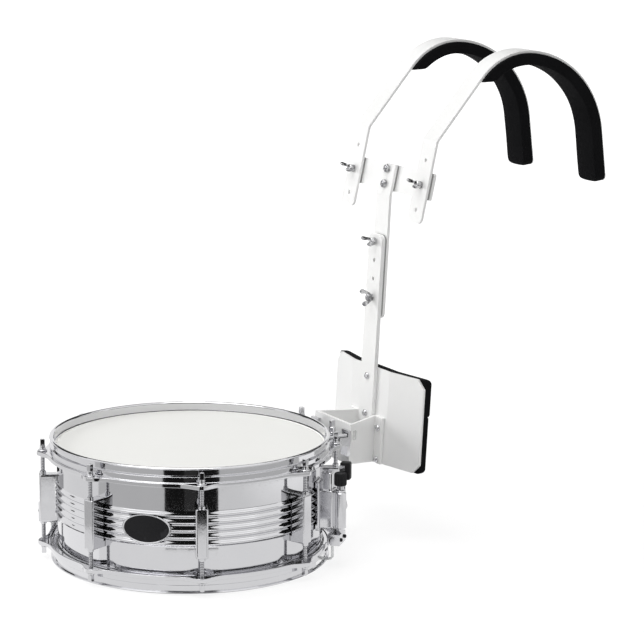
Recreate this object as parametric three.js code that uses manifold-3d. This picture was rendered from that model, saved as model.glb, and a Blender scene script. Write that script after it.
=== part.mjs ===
// A marching snare drum clamped to a shoulder carrier.
// Millimetres, +Z up. The wearer stands on the +Y side, the drum's front is -Y, and the drum
// stands on its lower hoop. An angle round the drum is measured from the front (-Y) towards +X.
// The origin is the bottom centre of the whole object's box.

import * as THREE from 'three';
import { mergeVertices } from 'three/addons/utils/BufferGeometryUtils.js';
import Module from 'manifold-3d';

const wasm = await Module();
wasm.setup();

// Fits and mesh fineness
const seat_gap = 0.3;
const cut_overrun = 2;
const weld_distance = 0.0002;
const round_steps = 48;
const small_steps = 12;
const rod_steps = 8;
const corner_steps = 3;

// Shell: a pressed metal cylinder with beads round its middle
const shell_radius = 177;
const shell_height = 140;
const shell_wall = 1.6;
const edge_inset = 1.6;
const edge_drop = 1.8;
const fold_width = 8;
const fold_drop = 4.6;
const snare_bed_depth = 1.2;
const snare_bed_degrees = 12;
const bead_count = 5;
const bead_pitch = 9.6;
const bead_rise = 2.4;
const bead_shoulder_share = 0.35;
const vent_radius = 5;
const vent_height = 126;
const vent_angle = 225;

// Hoops: pressed with an outward rim, a step over the head's ring, a flange with ears and a lip
const rim_height = 13;
const hoop_wall = 1.9;
const rim_flare = 3.7;
const rim_edge = 1.4;
const rim_slope = 4.4;
const hoop_clearance = 0.9;
const flange_depth = 19.5;
const lip_depth = 25;
const flange_width = 4.2;
const ear_reach = 12.6;
const ear_spread_degrees = 4.6;
const ear_hole_clearance = 0.7;
const sector_degrees = [-15, -8, -3.6, 0, 3.6, 8, 15, 22.5];
const gate_degrees = [-18.7, -11.5, 11.5, 18.7];
const gate_rise = 7;
const gate_spread_degrees = 9;
const gate_width = 44;
const gate_floor = 3;

// Heads: a film drawn over the shell's edge into a metal ring
const film_thickness = 0.5;
const ring_width = 4.8;
const ring_height = 8.2;
const collar_drop = 3;
const collar_run = 1.7;

// Lugs and tension rods
const lug_count = 8;
const first_lug_angle = 22.5;
const lug_width = 16;
const lug_height = 65;
const lug_depth = 23;
const lug_corner = 4.5;
const lug_bevel = 1.4;
const bead_relief = 0.5;
const receiver_radius = 5.3;
const receiver_stand = 3.5;
const rod_reach = 18.5;
const rod_radius = 2.75;
const rod_clearance = 0.45;
const rod_engagement = 17;
const rod_bore_depth = 22;
const washer_radius = 6.2;
const washer_thickness = 1.5;
const collar_radius = 4.4;
const batter_collar_height = 5.5;
const snare_collar_height = 2.5;
const key_width = 6;
const key_height = 8.5;

// Badge: a bare oval plate that lies on the beads
const badge_width = 66;
const badge_height = 36;
const badge_thickness = 1.3;
const badge_angle = 45;

// Strainer: a plate and a tube on the shell, a slide in the tube, a lever and a tension knob
const strainer_angle = 135;
const strainer_plate_width = 32;
const strainer_plate_height = 66;
const strainer_plate_thickness = 3;
const strainer_neck_width = 26;
const strainer_neck_height = 52;
const strainer_reach = 30.5;
const strainer_head_height = 26;
const strainer_head_width = 14;
const strainer_head_depth = 14;
const tube_radius = 7.8;
const tube_bore = 5.4;
const tube_top = 101;
const tube_bottom = 52;
const slide_clearance = 0.5;
const slide_top = 92;
const clamp_top = 46;
const clamp_bottom = 31;
const clamp_width = 30;
const clamp_depth = 17;
const clamp_setback = 5;
const clamp_slot = 2.4;
const clamp_screw_radius = 2.4;
const clamp_screw_stand = 2.2;
const clamp_screw_spacing = 19;
const knob_radius = 8.3;
const knob_height = 17;
const knob_stand = 9;
const knob_flutes = 12;
const knob_flute_depth = 0.8;
const knob_chamfer = 1.6;
const stem_radius = 3;
const stem_depth = 6;
const lever_pivot_height = 80;
const lever_hub_radius = 7;
const lever_pin_radius = 2;
const lever_thickness = 3;
const lever_arm_width = 8.5;
const grip_bottom = 115;
const grip_top = 139;
const grip_depth = 14;
const grip_width = 10;
const grip_round = 3;
const grip_offset = 3.5;
const grip_bevel = 1.2;

// Butt: the fixed clamp across the drum from the strainer
const butt_angle = 315;
const butt_width = 32;
const butt_height = 25;
const butt_neck_height = 12;

// Snare wires: strands between two end plates, held by a tape at each end
const strand_count = 20;
const strand_width = 1.2;
const strand_pitch = 2.3;
const strand_end_inset = 18;
const end_plate_length = 13;
const end_plate_thickness = 0.9;
const wire_drop = 1.1;
const tape_width = 12;
const tape_thickness = 0.8;
const tape_dip = 1.6;
const tape_rise_clearance = 4;
const tape_hold = 6;

// Claws: jaws that grip the upper hoop's flange, drawn together by a key screw
const claw_spacing = 85;
const claw_width = 18;
const claw_screw_clearance = 5;
const claw_back = 24.1;
const claw_arm = 7;
const claw_heel = 6.5;
const claw_hook_rise = 3.4;
const claw_back_rise = 4;
const claw_screw_tail_length = 4;
const claw_back_width = 4.5;
const claw_back_drop = 14;
const claw_bevel = 1;
const jaw_thickness = 4;
const jaw_length = 22;
const claw_key_stand = 20;
const claw_sleeve_radius = 4.6;
const claw_sleeve_height = 9;

// Bracket: a hat of folded plate between the claws and the belly plate
const bracket_sheet = 4;
const bracket_front_width = 98;
const bracket_root_width = 50;
const bracket_flange_width = 18;
const bracket_depth = 52.5;
const bracket_front_height = 55;
const bracket_root_height = 65;
const bracket_drop = 15;
const bracket_slot_width = 9;
const bracket_slot_height = 15;
const bracket_slot_setback = 9;
const bracket_slot_lift = 12;
const bracket_screw_spacing = 44;
const bracket_screw_drop = 5;
const bracket_screw_radius = 4.2;
const bracket_screw_stand = 2.6;

// Uprights: two flat bars, the lower one in front, clamped together with a liner between them
const lean_degrees = 3.2;
const bar_width = 35;
const lower_bar_thickness = 5.5;
const upper_bar_thickness = 4;
const bar_corner = 9;
const liner_thickness = 1.6;
const lower_bar_start = 3.5;
const lower_bar_top = 265.9;
const bar_hole_pitch = 25.9;
const bar_hole_radius = 2.6;
const bar_hole_count = 4;
const top_hole_inset = 10;
const upper_bar_start = 150.7;
const upper_bend_height = 320;
const slot_bottom_inset = 8;
const slot_top_margin = 5;
const slot_clearance = 0.5;
const belly_bolt_heights = [16.5, 68.6];
const bolt_head_radius = 4.6;
const bolt_head_height = 2.8;
const dome_share = 0.62;
const dome_shoulder_share = 0.4;

// Cross plate: bolted behind the upper bar's end, carries the two shoulder straps
const top_lean_degrees = 12.4;
const cross_overhang = 1;
const cross_height = 36;
const cross_thickness = 4;
const cross_corner = 3;
const cross_start = 7;
const cross_bolt_spacing = 21;
const cross_bolt_inset = 7;
const cross_bolt_radius = 5.2;
const cross_bolt_height = 3.6;
const strap_spacing = 177;
const strap_hole_pitch = 33.5;
const strap_hole_radius = 2.6;

// Shoulder straps: flat bars bent up, over the shoulder and down the back
const strap_width = 35;
const strap_thickness = 4;
const strap_corner = 8;
const strap_foot_length = 51;
const strap_front_length = 57.5;
const strap_kink_degrees = 28;
const strap_kink_radius = 16;
const strap_incline_length = 103;
const strap_front_radius = 94;
const strap_front_degrees = 52.5;
const strap_back_radius = 130.5;
const strap_back_degrees = 80;
const strap_tail_length = 72;
const strap_kink_steps = 4;
const strap_front_steps = 8;
const strap_back_steps = 12;

// Shoulder pads: foam strips under the straps, crowned and tapered at both ends
const pad_width = 44;
const pad_thickness = 17;
const pad_crown = 1.6;
const pad_lead_length = 4;
const pad_nose_length = 14;
const pad_tip_thickness = 3;
const pad_end_radius = 8;
const pad_end_steps = 4;
const pad_tail_gap = 1;

// Belly plate and its pad
const plate_flat_width = 98;
const plate_wing = 68;
const plate_wing_degrees = 12;
const plate_thickness = 3;
const plate_drop = 46.6;
const plate_rise = 82.6;
const plate_chamfer = 13;
const belly_pad_thickness = 14.5;
const belly_pad_crown = 3;
const belly_pad_lower_step = 2;
const belly_pad_seam_height = 31.5;
const belly_pad_round = 6;
const belly_pad_groove = 1.5;
const round_share = 0.3;

// Wing screws
const wing_thread_radius = 2.6;
const wing_boss_radius = 5;
const wing_boss_height = 8;
const wing_span = 25;
const wing_rise = 9;
const wing_thickness = 3;
const wing_tip_width = 7;
const wing_foot = 1;
const wing_head_radius = 6;
const wing_head_height = 2.4;
const wing_turn_degrees = 20;
const low_wing_turn_degrees = 62;

const degree = Math.PI / 180;
const drum_height = shell_height + 2 * rim_height;
const shell_bottom = rim_height;
const shell_top = rim_height + shell_height;
const drum_middle = drum_height / 2;
const rod_circle = shell_radius + rod_reach;
const ring_inner = shell_radius + collar_run;
const ring_outer = ring_inner + ring_width;
const lower_wall_inner = ring_outer + hoop_clearance;
const lower_wall_outer = lower_wall_inner + hoop_wall;
const upper_wall_inner = lower_wall_inner - rim_flare;
const upper_wall_outer = upper_wall_inner + hoop_wall;
const step_depth = rim_height - film_thickness - seat_gap * 2;
const flange_outer = lower_wall_outer + flange_width;

const chrome = { color: 0xc9ccd0, roughness: 0.12, metalness: 1 };
const steel = { color: 0xa6a8aa, roughness: 0.3, metalness: 1 };
const white_coat = { color: 0xf2f2f0, roughness: 0.35, metalness: 0 };
const black_foam = { color: 0x161618, roughness: 0.95, metalness: 0 };
const liner_grey = { color: 0x8c8c8c, roughness: 0.8, metalness: 0 };
const black_plastic = { color: 0x121214, roughness: 0.55, metalness: 0 };
const film_white = { color: 0xf0f0ec, roughness: 0.7, metalness: 0 };
const film_clear = { color: 0xd9dcdc, roughness: 0.35, metalness: 0 };
const badge_black = { color: 0x101012, roughness: 0.3, metalness: 0.2 };

// Turns a closed three.js geometry into a solid that can be joined and cut
function solid(geometry) {
  const bare = geometry.clone();
  bare.deleteAttribute('normal');
  bare.deleteAttribute('uv');
  const merged = mergeVertices(bare, weld_distance);
  const triangles = dropFlat(merged.index.array);
  const positions = merged.attributes.position.array;
  if (signedVolume(positions, triangles) < 0) triangles.reverse();
  const mesh = new wasm.Mesh({
    numProp: 3,
    vertProperties: Float32Array.from(positions),
    triVerts: Uint32Array.from(triangles),
  });
  return new wasm.Manifold(mesh);
}

function dropFlat(index) {
  const kept = [];
  for (let i = 0; i < index.length; i += 3) {
    const [a, b, c] = [index[i], index[i + 1], index[i + 2]];
    if (a !== b && b !== c && c !== a) kept.push(a, b, c);
  }
  return kept;
}

function signedVolume(positions, triangles) {
  const corner = (i) => new THREE.Vector3().fromArray(positions, 3 * i);
  let sum = 0;
  for (let i = 0; i < triangles.length; i += 3) {
    const [a, b, c] = [0, 1, 2].map((k) => corner(triangles[i + k]));
    sum += a.dot(b.cross(c)) / 6;
  }
  return sum;
}

function toGeometry(shape) {
  const { vertProperties, triVerts } = shape.getMesh();
  const geometry = new THREE.BufferGeometry();
  geometry.setAttribute('position', new THREE.BufferAttribute(vertProperties, 3));
  geometry.setIndex(new THREE.BufferAttribute(triVerts, 1));
  return geometry;
}

function meshOf(name, shape, look) {
  const material = new THREE.MeshStandardMaterial(look);
  material.flatShading = true;
  const mesh = new THREE.Mesh(toGeometry(shape), material);
  mesh.name = name;
  return mesh;
}

function joined(first, ...others) {
  return others.reduce((sum, next) => sum.add(next), first);
}

function cut(first, ...others) {
  return others.reduce((rest, next) => rest.subtract(next), first);
}

// Moves a geometry, then makes it a solid
function placed(geometry, position = [0, 0, 0], rotation = [0, 0, 0]) {
  const euler = new THREE.Euler(...rotation);
  const turn = new THREE.Matrix4().makeRotationFromEuler(euler);
  geometry.applyMatrix4(turn);
  geometry.translate(...position);
  return solid(geometry);
}

// A block between two corners
function block(low, high) {
  const size = high.map((value, i) => value - low[i]);
  const middle = high.map((value, i) => (value + low[i]) / 2);
  return placed(new THREE.BoxGeometry(...size), middle);
}

// A round bar along x, y or z from one end to the other
function bar(axis, radius, from, to, centre, steps = small_steps) {
  const geometry = new THREE.CylinderGeometry(radius, radius, to - from, steps);
  const turns = { x: [0, 0, Math.PI / 2], y: [0, 0, 0], z: [Math.PI / 2, 0, 0] };
  const middle = (from + to) / 2;
  const [a, b] = centre;
  const positions = { x: [middle, a, b], y: [a, middle, b], z: [a, b, middle] };
  return placed(geometry, positions[axis], turns[axis]);
}

// An outline in two of the axes, swept along the third from one value to another
function swept(axis, shape, from, to, bevel = 0) {
  const settings = { depth: to - from - 2 * bevel, curveSegments: corner_steps, bevelEnabled: false };
  if (bevel > 0) {
    Object.assign(settings, { bevelEnabled: true, bevelSegments: 1 });
    Object.assign(settings, { bevelSize: bevel, bevelThickness: bevel, bevelOffset: -bevel });
  }
  const geometry = new THREE.ExtrudeGeometry(shape, settings);
  geometry.translate(0, 0, from + bevel);
  const bases = {
    x: [[0, 1, 0], [0, 0, 1], [1, 0, 0]],
    y: [[1, 0, 0], [0, 0, 1], [0, 1, 0]],
    z: [[1, 0, 0], [0, 1, 0], [0, 0, 1]],
  };
  const axes = bases[axis].map((direction) => new THREE.Vector3(...direction));
  geometry.applyMatrix4(new THREE.Matrix4().makeBasis(...axes));
  return solid(geometry);
}

function polygon(points) {
  return new THREE.Shape(points.map(([x, y]) => new THREE.Vector2(x, y)));
}

function roundedBox(left, bottom, right, top, radius) {
  const shape = new THREE.Shape();
  shape.absarc(right - radius, top - radius, radius, 0, Math.PI / 2);
  shape.absarc(left + radius, top - radius, radius, Math.PI / 2, Math.PI);
  shape.absarc(left + radius, bottom + radius, radius, Math.PI, 1.5 * Math.PI);
  shape.absarc(right - radius, bottom + radius, radius, 1.5 * Math.PI, 2 * Math.PI);
  shape.closePath();
  return shape;
}

// Rings of points, one after another, skinned into a closed body.
// A loop of rings closes on itself, and otherwise both ends are capped.
function skinned(rings, loop) {
  const count = rings[0].length;
  const positions = rings.flat(2);
  const triangles = [];
  const last = loop ? rings.length : rings.length - 1;
  for (let i = 0; i < last; i += 1) {
    const next = (i + 1) % rings.length;
    for (let j = 0; j < count; j += 1) {
      const k = (j + 1) % count;
      triangles.push(i * count + j, next * count + j, next * count + k);
      triangles.push(i * count + j, next * count + k, i * count + k);
    }
  }
  const top = (rings.length - 1) * count;
  for (let j = 1; j < count - 1 && !loop; j += 1) {
    triangles.push(0, j, j + 1);
    triangles.push(top, top + j + 1, top + j);
  }
  const geometry = new THREE.BufferGeometry();
  geometry.setAttribute('position', new THREE.Float32BufferAttribute(positions, 3));
  geometry.setIndex(triangles);
  return solid(geometry);
}

// A section given as [radius, height] points at each angle round the drum
function ringAround(angles, sectionAt) {
  const rings = angles.map((angle) => {
    const [sine, cosine] = [Math.sin(angle * degree), Math.cos(angle * degree)];
    return sectionAt(angle).map(([radius, height]) => [radius * sine, -radius * cosine, height]);
  });
  return skinned(rings, true);
}

function evenAngles(count) {
  return Array.from({ length: count }, (_, i) => (360 * i) / count);
}

// The angle from one direction to another, between -180 and 180 degrees
function angleBetween(angle, other) {
  return ((((angle - other) % 360) + 540) % 360) - 180;
}

function swell(angle, centre, spread) {
  const share = angleBetween(angle, centre) / spread;
  return Math.exp(-share * share);
}

// A group whose +X points away from the drum's axis at an angle round it
function facing(angle, ...children) {
  const group = new THREE.Group();
  group.rotation.z = (angle - 90) * degree;
  group.add(...children);
  return group;
}

// Shell
function shellSection(angle) {
  const bed = snare_bed_depth * (swell(angle, strainer_angle, snare_bed_degrees)
    + swell(angle, butt_angle, snare_bed_degrees));
  const bottom = shell_bottom + bed;
  const inner = shell_radius - shell_wall;
  const tip = shell_radius - fold_width;
  const points = [[shell_radius - edge_inset, shell_top], [shell_radius, shell_top - edge_drop]];
  const first = drum_middle + (bead_count * bead_pitch) / 2;
  points.push([shell_radius, first]);
  for (let i = 0; i < bead_count; i += 1) {
    const start = first - i * bead_pitch;
    points.push([shell_radius + bead_rise, start - bead_pitch * bead_shoulder_share]);
    points.push([shell_radius + bead_rise, start - bead_pitch * (1 - bead_shoulder_share)]);
    points.push([shell_radius, start - bead_pitch]);
  }
  points.push([shell_radius, bottom + edge_drop], [shell_radius - edge_inset, bottom]);
  points.push([tip, bottom + fold_drop], [tip, bottom + fold_drop + shell_wall]);
  points.push([inner - shell_wall, bottom + edge_drop + shell_wall], [inner, bottom + fold_drop]);
  points.push([inner, shell_top - fold_drop], [inner - shell_wall, shell_top - edge_drop - shell_wall]);
  points.push([tip, shell_top - fold_drop - shell_wall], [tip, shell_top - fold_drop]);
  return points;
}

function makeShell() {
  const body = ringAround(evenAngles(round_steps), shellSection);
  const length = 2 * shell_wall + 2 * cut_overrun;
  const hole = new THREE.CylinderGeometry(vent_radius, vent_radius, length, small_steps);
  const direction = vent_angle * degree;
  const place = [shell_radius * Math.sin(direction), -shell_radius * Math.cos(direction), vent_height];
  const vent = placed(hole, place, [0, 0, direction]);
  return meshOf('shell', cut(body, vent), chrome);
}

// Heads: the lower one is the upper one turned over
function headSection(flip) {
  const height = (depth) => (flip ? depth : drum_height - depth);
  const film = rim_height - seat_gap;
  const skin = film - film_thickness;
  const collar = ring_inner - film_thickness;
  const points = [
    [0, skin], [shell_radius - edge_inset, skin], [ring_inner, skin + collar_drop / 2],
    [ring_inner, skin], [ring_outer, skin],
    [ring_outer, skin + ring_height], [collar + film_thickness, skin + ring_height],
    [collar, film + collar_drop], [shell_radius, film + edge_drop / 2],
    [shell_radius - edge_inset, film], [0, film],
  ];
  return points.map(([radius, depth]) => [radius, height(depth)]);
}

function makeHead(name, flip, look) {
  const section = headSection(flip);
  return meshOf(name, ringAround(evenAngles(round_steps), () => section), look);
}

// Hoops: depths are measured from the rim's plane
function nearestLug(angle) {
  const pitch = 360 / lug_count;
  const index = Math.round((angle - first_lug_angle) / pitch);
  return first_lug_angle + index * pitch;
}

function hoopSection(angle, lift) {
  const outer = flange_outer + ear_reach * swell(angle, nearestLug(angle), ear_spread_degrees);
  const flange = flange_depth + lift;
  return [
    [upper_wall_outer + rim_flare, rim_edge / 2], [upper_wall_outer + rim_flare - rim_edge, 0],
    [upper_wall_outer + rim_flare - 2 * rim_edge, 0],
    [upper_wall_inner, rim_slope - rim_edge / 2], [upper_wall_inner, step_depth],
    [lower_wall_inner, step_depth], [lower_wall_inner, flange + hoop_wall],
    [outer - hoop_wall, flange + hoop_wall], [outer - hoop_wall, lip_depth + lift],
    [outer, lip_depth + lift], [outer, flange], [lower_wall_outer, flange],
    [lower_wall_outer, step_depth - hoop_wall], [upper_wall_outer, step_depth - hoop_wall],
    [upper_wall_outer, rim_slope],
  ];
}

function hoopAngles(gates) {
  const pitch = 360 / lug_count;
  const angles = [];
  for (let i = 0; i < lug_count; i += 1) {
    const lug = first_lug_angle + i * pitch;
    const beside = gates.some((gate) => Math.abs(angleBetween(gate, lug)) < pitch);
    const offsets = beside ? [...sector_degrees, ...gate_degrees] : sector_degrees;
    offsets.forEach((offset) => angles.push(lug + offset));
  }
  return angles.sort((a, b) => a - b);
}

function earHole(index, from, to) {
  const angle = (first_lug_angle + (index * 360) / lug_count) * degree;
  const centre = [rod_circle * Math.sin(angle), -rod_circle * Math.cos(angle)];
  return bar('z', rod_radius + ear_hole_clearance, from, to, centre, rod_steps);
}

function makeHoop(name, lower) {
  const gates = lower ? [strainer_angle, butt_angle] : [];
  const lift = (angle) => gate_rise * gates.reduce(
    (sum, gate) => sum + swell(angle, gate, gate_spread_degrees), 0);
  const height = (depth) => (lower ? depth : drum_height - depth);
  const section = (angle) => hoopSection(angle, lift(angle)).map(([r, depth]) => [r, height(depth)]);
  let hoop = ringAround(hoopAngles(gates), section);
  const levels = [height(flange_depth - cut_overrun), height(flange_depth + hoop_wall + cut_overrun)];
  for (let i = 0; i < lug_count; i += 1) {
    hoop = hoop.subtract(earHole(i, Math.min(...levels), Math.max(...levels)));
  }
  gates.forEach((gate) => { hoop = hoop.subtract(gateWindow(gate)); });
  return meshOf(name, hoop, chrome);
}

// The window that the snare tape passes through
function gateWindow(angle) {
  const low = upper_wall_inner - cut_overrun * 2;
  const high = lower_wall_outer + cut_overrun;
  const middle = (low + high) / 2;
  const height = flange_depth - gate_floor;
  const geometry = new THREE.BoxGeometry(high - low, gate_width, height);
  geometry.translate(middle, 0, gate_floor + height / 2);
  return placed(geometry, [0, 0, 0], [0, 0, (angle - 90) * degree]);
}

// Lugs and tension rods, in a frame whose +X points outwards
function lugOutline() {
  const back = shell_radius + seat_gap;
  const front = back + lug_depth;
  const half = lug_width / 2;
  const shape = new THREE.Shape();
  shape.moveTo(back, -half);
  shape.absarc(front - lug_corner, -half + lug_corner, lug_corner, -Math.PI / 2, 0);
  shape.absarc(front - lug_corner, half - lug_corner, lug_corner, 0, Math.PI / 2);
  shape.lineTo(back, half);
  shape.closePath();
  return shape;
}

function makeLug(name, angle) {
  const low = drum_middle - lug_height / 2;
  const high = drum_middle + lug_height / 2;
  const centre = [rod_circle, 0];
  const body = swept('z', lugOutline(), low, high, lug_bevel);
  const receiver = bar('z', receiver_radius, low - receiver_stand, high + receiver_stand, centre, rod_steps);
  const reach = (bead_count * bead_pitch) / 2 + bead_relief;
  const relief = block([shell_radius - cut_overrun, -lug_width, drum_middle - reach],
    [shell_radius + bead_rise + bead_relief, lug_width, drum_middle + reach]);
  const bore = rod_radius + rod_clearance;
  const upper = bar('z', bore, high + receiver_stand - rod_bore_depth,
    high + receiver_stand + cut_overrun, centre, rod_steps);
  const lower = bar('z', bore, low - receiver_stand - cut_overrun,
    low - receiver_stand + rod_bore_depth, centre, rod_steps);
  return facing(angle, meshOf(name, cut(joined(body, receiver), relief, upper, lower), chrome));
}

// A ring of eight points that is round, or square for a key head
function rodRing(radius, height, square) {
  return Array.from({ length: rod_steps }, (_, i) => {
    const turn = (i * 2 * Math.PI) / rod_steps;
    const widest = Math.max(Math.abs(Math.cos(turn)), Math.abs(Math.sin(turn)));
    const reach = square ? radius / widest : radius;
    return [reach * Math.cos(turn), reach * Math.sin(turn), height];
  });
}

// A rod stands on its washer at height zero, with its key head above and its stem below
function rodSolid(stem_length, collar_height) {
  const head_start = washer_thickness + collar_height;
  return skinned([
    rodRing(rod_radius, -stem_length, false),
    rodRing(rod_radius, 0, false),
    rodRing(washer_radius, 0, false),
    rodRing(washer_radius, washer_thickness, false),
    rodRing(collar_radius, washer_thickness, false),
    rodRing(key_width / 2, head_start, true),
    rodRing(key_width / 2, head_start + key_height, true),
  ], false);
}

function makeRod(name, angle, lower) {
  const lug_end = (lug_height / 2) + receiver_stand;
  const washer_level = drum_middle - flange_depth + seat_gap;
  const stem = washer_level - lug_end + rod_engagement;
  const shape = rodSolid(stem, lower ? snare_collar_height : batter_collar_height);
  const rod = meshOf(name, shape, chrome);
  rod.position.set(rod_circle, 0, drum_middle + (lower ? -washer_level : washer_level));
  if (lower) rod.rotation.x = Math.PI;
  return facing(angle, rod);
}

function makeTuning() {
  const group = new THREE.Group();
  for (let i = 0; i < lug_count; i += 1) {
    const angle = first_lug_angle + (i * 360) / lug_count;
    group.add(makeLug(`lug_${i + 1}`, angle));
    group.add(makeRod(`batter_rod_${i + 1}`, angle, false));
    group.add(makeRod(`snare_rod_${i + 1}`, angle, true));
  }
  return group;
}

// Badge: an oval cut from a band that lies on the beads
function makeBadge() {
  const inner = shell_radius + bead_rise + seat_gap;
  const outer = inner + badge_thickness;
  const low = drum_middle - badge_height;
  const high = drum_middle + badge_height;
  const section = [[inner, low], [outer, low], [outer, high], [inner, high]];
  const band = ringAround(evenAngles(round_steps), () => section);
  const oval = new THREE.Shape();
  oval.absellipse(0, drum_middle, badge_width / 2, badge_height / 2, 0, 2 * Math.PI);
  const settings = { depth: outer, curveSegments: small_steps, bevelEnabled: false };
  const cutter = new THREE.ExtrudeGeometry(oval, settings);
  const basis = new THREE.Matrix4().makeBasis(
    new THREE.Vector3(0, 1, 0), new THREE.Vector3(0, 0, 1), new THREE.Vector3(1, 0, 0));
  cutter.applyMatrix4(basis);
  const turn = (badge_angle - 90) * degree;
  const plate = band.intersect(placed(cutter, [0, 0, 0], [0, 0, turn]));
  return meshOf('badge', plate, badge_black);
}

// A plate on the shell that bridges the beads and stands on a foot at each end
function footedPlate(width, low, high, thickness) {
  const back = shell_radius + seat_gap;
  const front = shell_radius + bead_rise + bead_relief + thickness;
  const reach = (bead_count * bead_pitch) / 2 + bead_relief;
  const plate = block([back, -width / 2, low], [front, width / 2, high]);
  const relief = block([back - cut_overrun, -width, Math.max(low - cut_overrun, drum_middle - reach)],
    [shell_radius + bead_rise + bead_relief, width, Math.min(high + cut_overrun, drum_middle + reach)]);
  return cut(plate, relief);
}

// Strainer
const tube_axis = shell_radius + strainer_reach;
const plate_front = shell_radius + bead_rise + bead_relief + strainer_plate_thickness;
const lever_side = knob_radius + seat_gap;
const clamp_back = tube_axis - clamp_depth / 2 - clamp_setback;
const clamp_front = clamp_back + clamp_depth;

function makeStrainerBody() {
  const half = strainer_plate_height / 2;
  const plate = footedPlate(strainer_plate_width, drum_middle - half, drum_middle + half,
    strainer_plate_thickness);
  const start = plate_front - strainer_plate_thickness / 2;
  const neck_end = tube_axis - lever_hub_radius - bead_relief;
  const neck_half = strainer_neck_width / 2;
  const neck = block([start, -neck_half, tube_bottom], [neck_end, neck_half, tube_bottom + strainer_neck_height]);
  const rib_half = tube_bore + slide_clearance;
  const rib = block([start, -rib_half, tube_bottom], [tube_axis, rib_half, tube_top]);
  const tube = bar('z', tube_radius, tube_bottom, tube_top, [tube_axis, 0], round_steps / 2);
  const boss = bar('y', lever_hub_radius - seat_gap, 0, lever_side - seat_gap, [tube_axis, lever_pivot_height]);
  const head_half = strainer_head_width / 2;
  const head = block([start, -head_half, tube_top - knob_stand],
    [plate_front + strainer_head_depth, head_half, tube_top + strainer_head_height]);
  const bore = bar('z', tube_bore, tube_bottom - cut_overrun, tube_top + cut_overrun, [tube_axis, 0]);
  const pin_hole = bar('y', lever_pin_radius + seat_gap, tube_bore - cut_overrun, lever_side,
    [tube_axis, lever_pivot_height], rod_steps);
  return meshOf('strainer_body', cut(joined(plate, neck, rib, tube, boss, head), bore, pin_hole), chrome);
}

// A clamp block with a slot for the tape and the heads of its two screws
function clampBlock(width, top) {
  const outline = roundedBox(-width / 2, clamp_bottom, width / 2, top, clamp_slot);
  const jaw = swept('x', outline, clamp_back, clamp_front);
  const slot = block([clamp_back + clamp_slot, -width, clamp_bottom - cut_overrun],
    [clamp_back + clamp_slot + tape_thickness + 2 * seat_gap, width, clamp_top - clamp_slot * 2]);
  const level = (clamp_top + clamp_bottom) / 2;
  const heads = [-1, 1].map((side) => bar('x', clamp_screw_radius, clamp_front - clamp_slot,
    clamp_front + clamp_screw_stand, [(side * clamp_screw_spacing) / 2, level], rod_steps));
  return joined(cut(jaw, slot), ...heads);
}

// The slide hangs in the tube and ends in the clamp that grips the snare tape
function makeStrainerSlide() {
  const radius = tube_bore - slide_clearance;
  const rod = bar('z', radius, clamp_top - clamp_slot, slide_top, [tube_axis, 0]);
  const well = bar('z', stem_radius + slide_clearance, slide_top - stem_depth,
    slide_top + cut_overrun, [tube_axis, 0], rod_steps);
  const shape = cut(joined(rod, clampBlock(clamp_width, clamp_top)), well);
  return meshOf('strainer_slide', shape, chrome);
}

function makeStrainerKnob() {
  const points = Array.from({ length: knob_flutes * 2 }, (_, i) => {
    const radius = i % 2 ? knob_radius - knob_flute_depth : knob_radius;
    const turn = (i * Math.PI) / knob_flutes;
    return [radius * Math.cos(turn), radius * Math.sin(turn)];
  });
  const cap = swept('z', polygon(points), knob_stand, knob_stand + knob_height, knob_chamfer);
  const foot = slide_top - stem_depth + seat_gap - tube_top;
  const stem = bar('z', stem_radius, foot, knob_stand + knob_chamfer, [0, 0], rod_steps);
  const knob = meshOf('strainer_knob', joined(cap, stem), black_plastic);
  knob.position.set(tube_axis, 0, tube_top);
  return knob;
}

// The lever turns on a pin in the tube's side, and its origin is on the pin's axis
function makeStrainerLever() {
  const outer = lever_side + lever_thickness;
  const half = lever_arm_width / 2;
  const hub = bar('y', lever_hub_radius, lever_side, outer, [0, 0]);
  const pin = bar('y', lever_pin_radius, tube_bore + slide_clearance, lever_side + seat_gap, [0, 0], rod_steps);
  const foot = grip_bottom - lever_pivot_height;
  const top = grip_top - lever_pivot_height;
  const arm = block([-half, lever_side, 0], [half, outer, top - grip_round]);
  const outline = roundedBox(grip_offset - grip_depth / 2, foot, grip_offset + grip_depth / 2, top, grip_round);
  const grip = swept('y', outline, lever_side, lever_side + grip_width, grip_bevel);
  const lever = meshOf('strainer_lever', joined(hub, pin, arm, grip), black_plastic);
  lever.position.set(tube_axis, 0, lever_pivot_height);
  return lever;
}

// Butt: a plate below the beads with a clamp on its neck
function makeButt() {
  const top = drum_middle - (bead_count * bead_pitch) / 2 - bead_relief;
  const back = shell_radius + seat_gap;
  const half = butt_width / 2;
  const plate = block([back, -half, top - butt_height], [back + strainer_plate_thickness, half, top]);
  const neck_half = strainer_neck_width / 2;
  const neck = block([back, -neck_half, top - butt_neck_height], [clamp_back + clamp_slot, neck_half, top]);
  return meshOf('butt_plate', joined(plate, neck, clampBlock(butt_width, top)), chrome);
}

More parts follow.
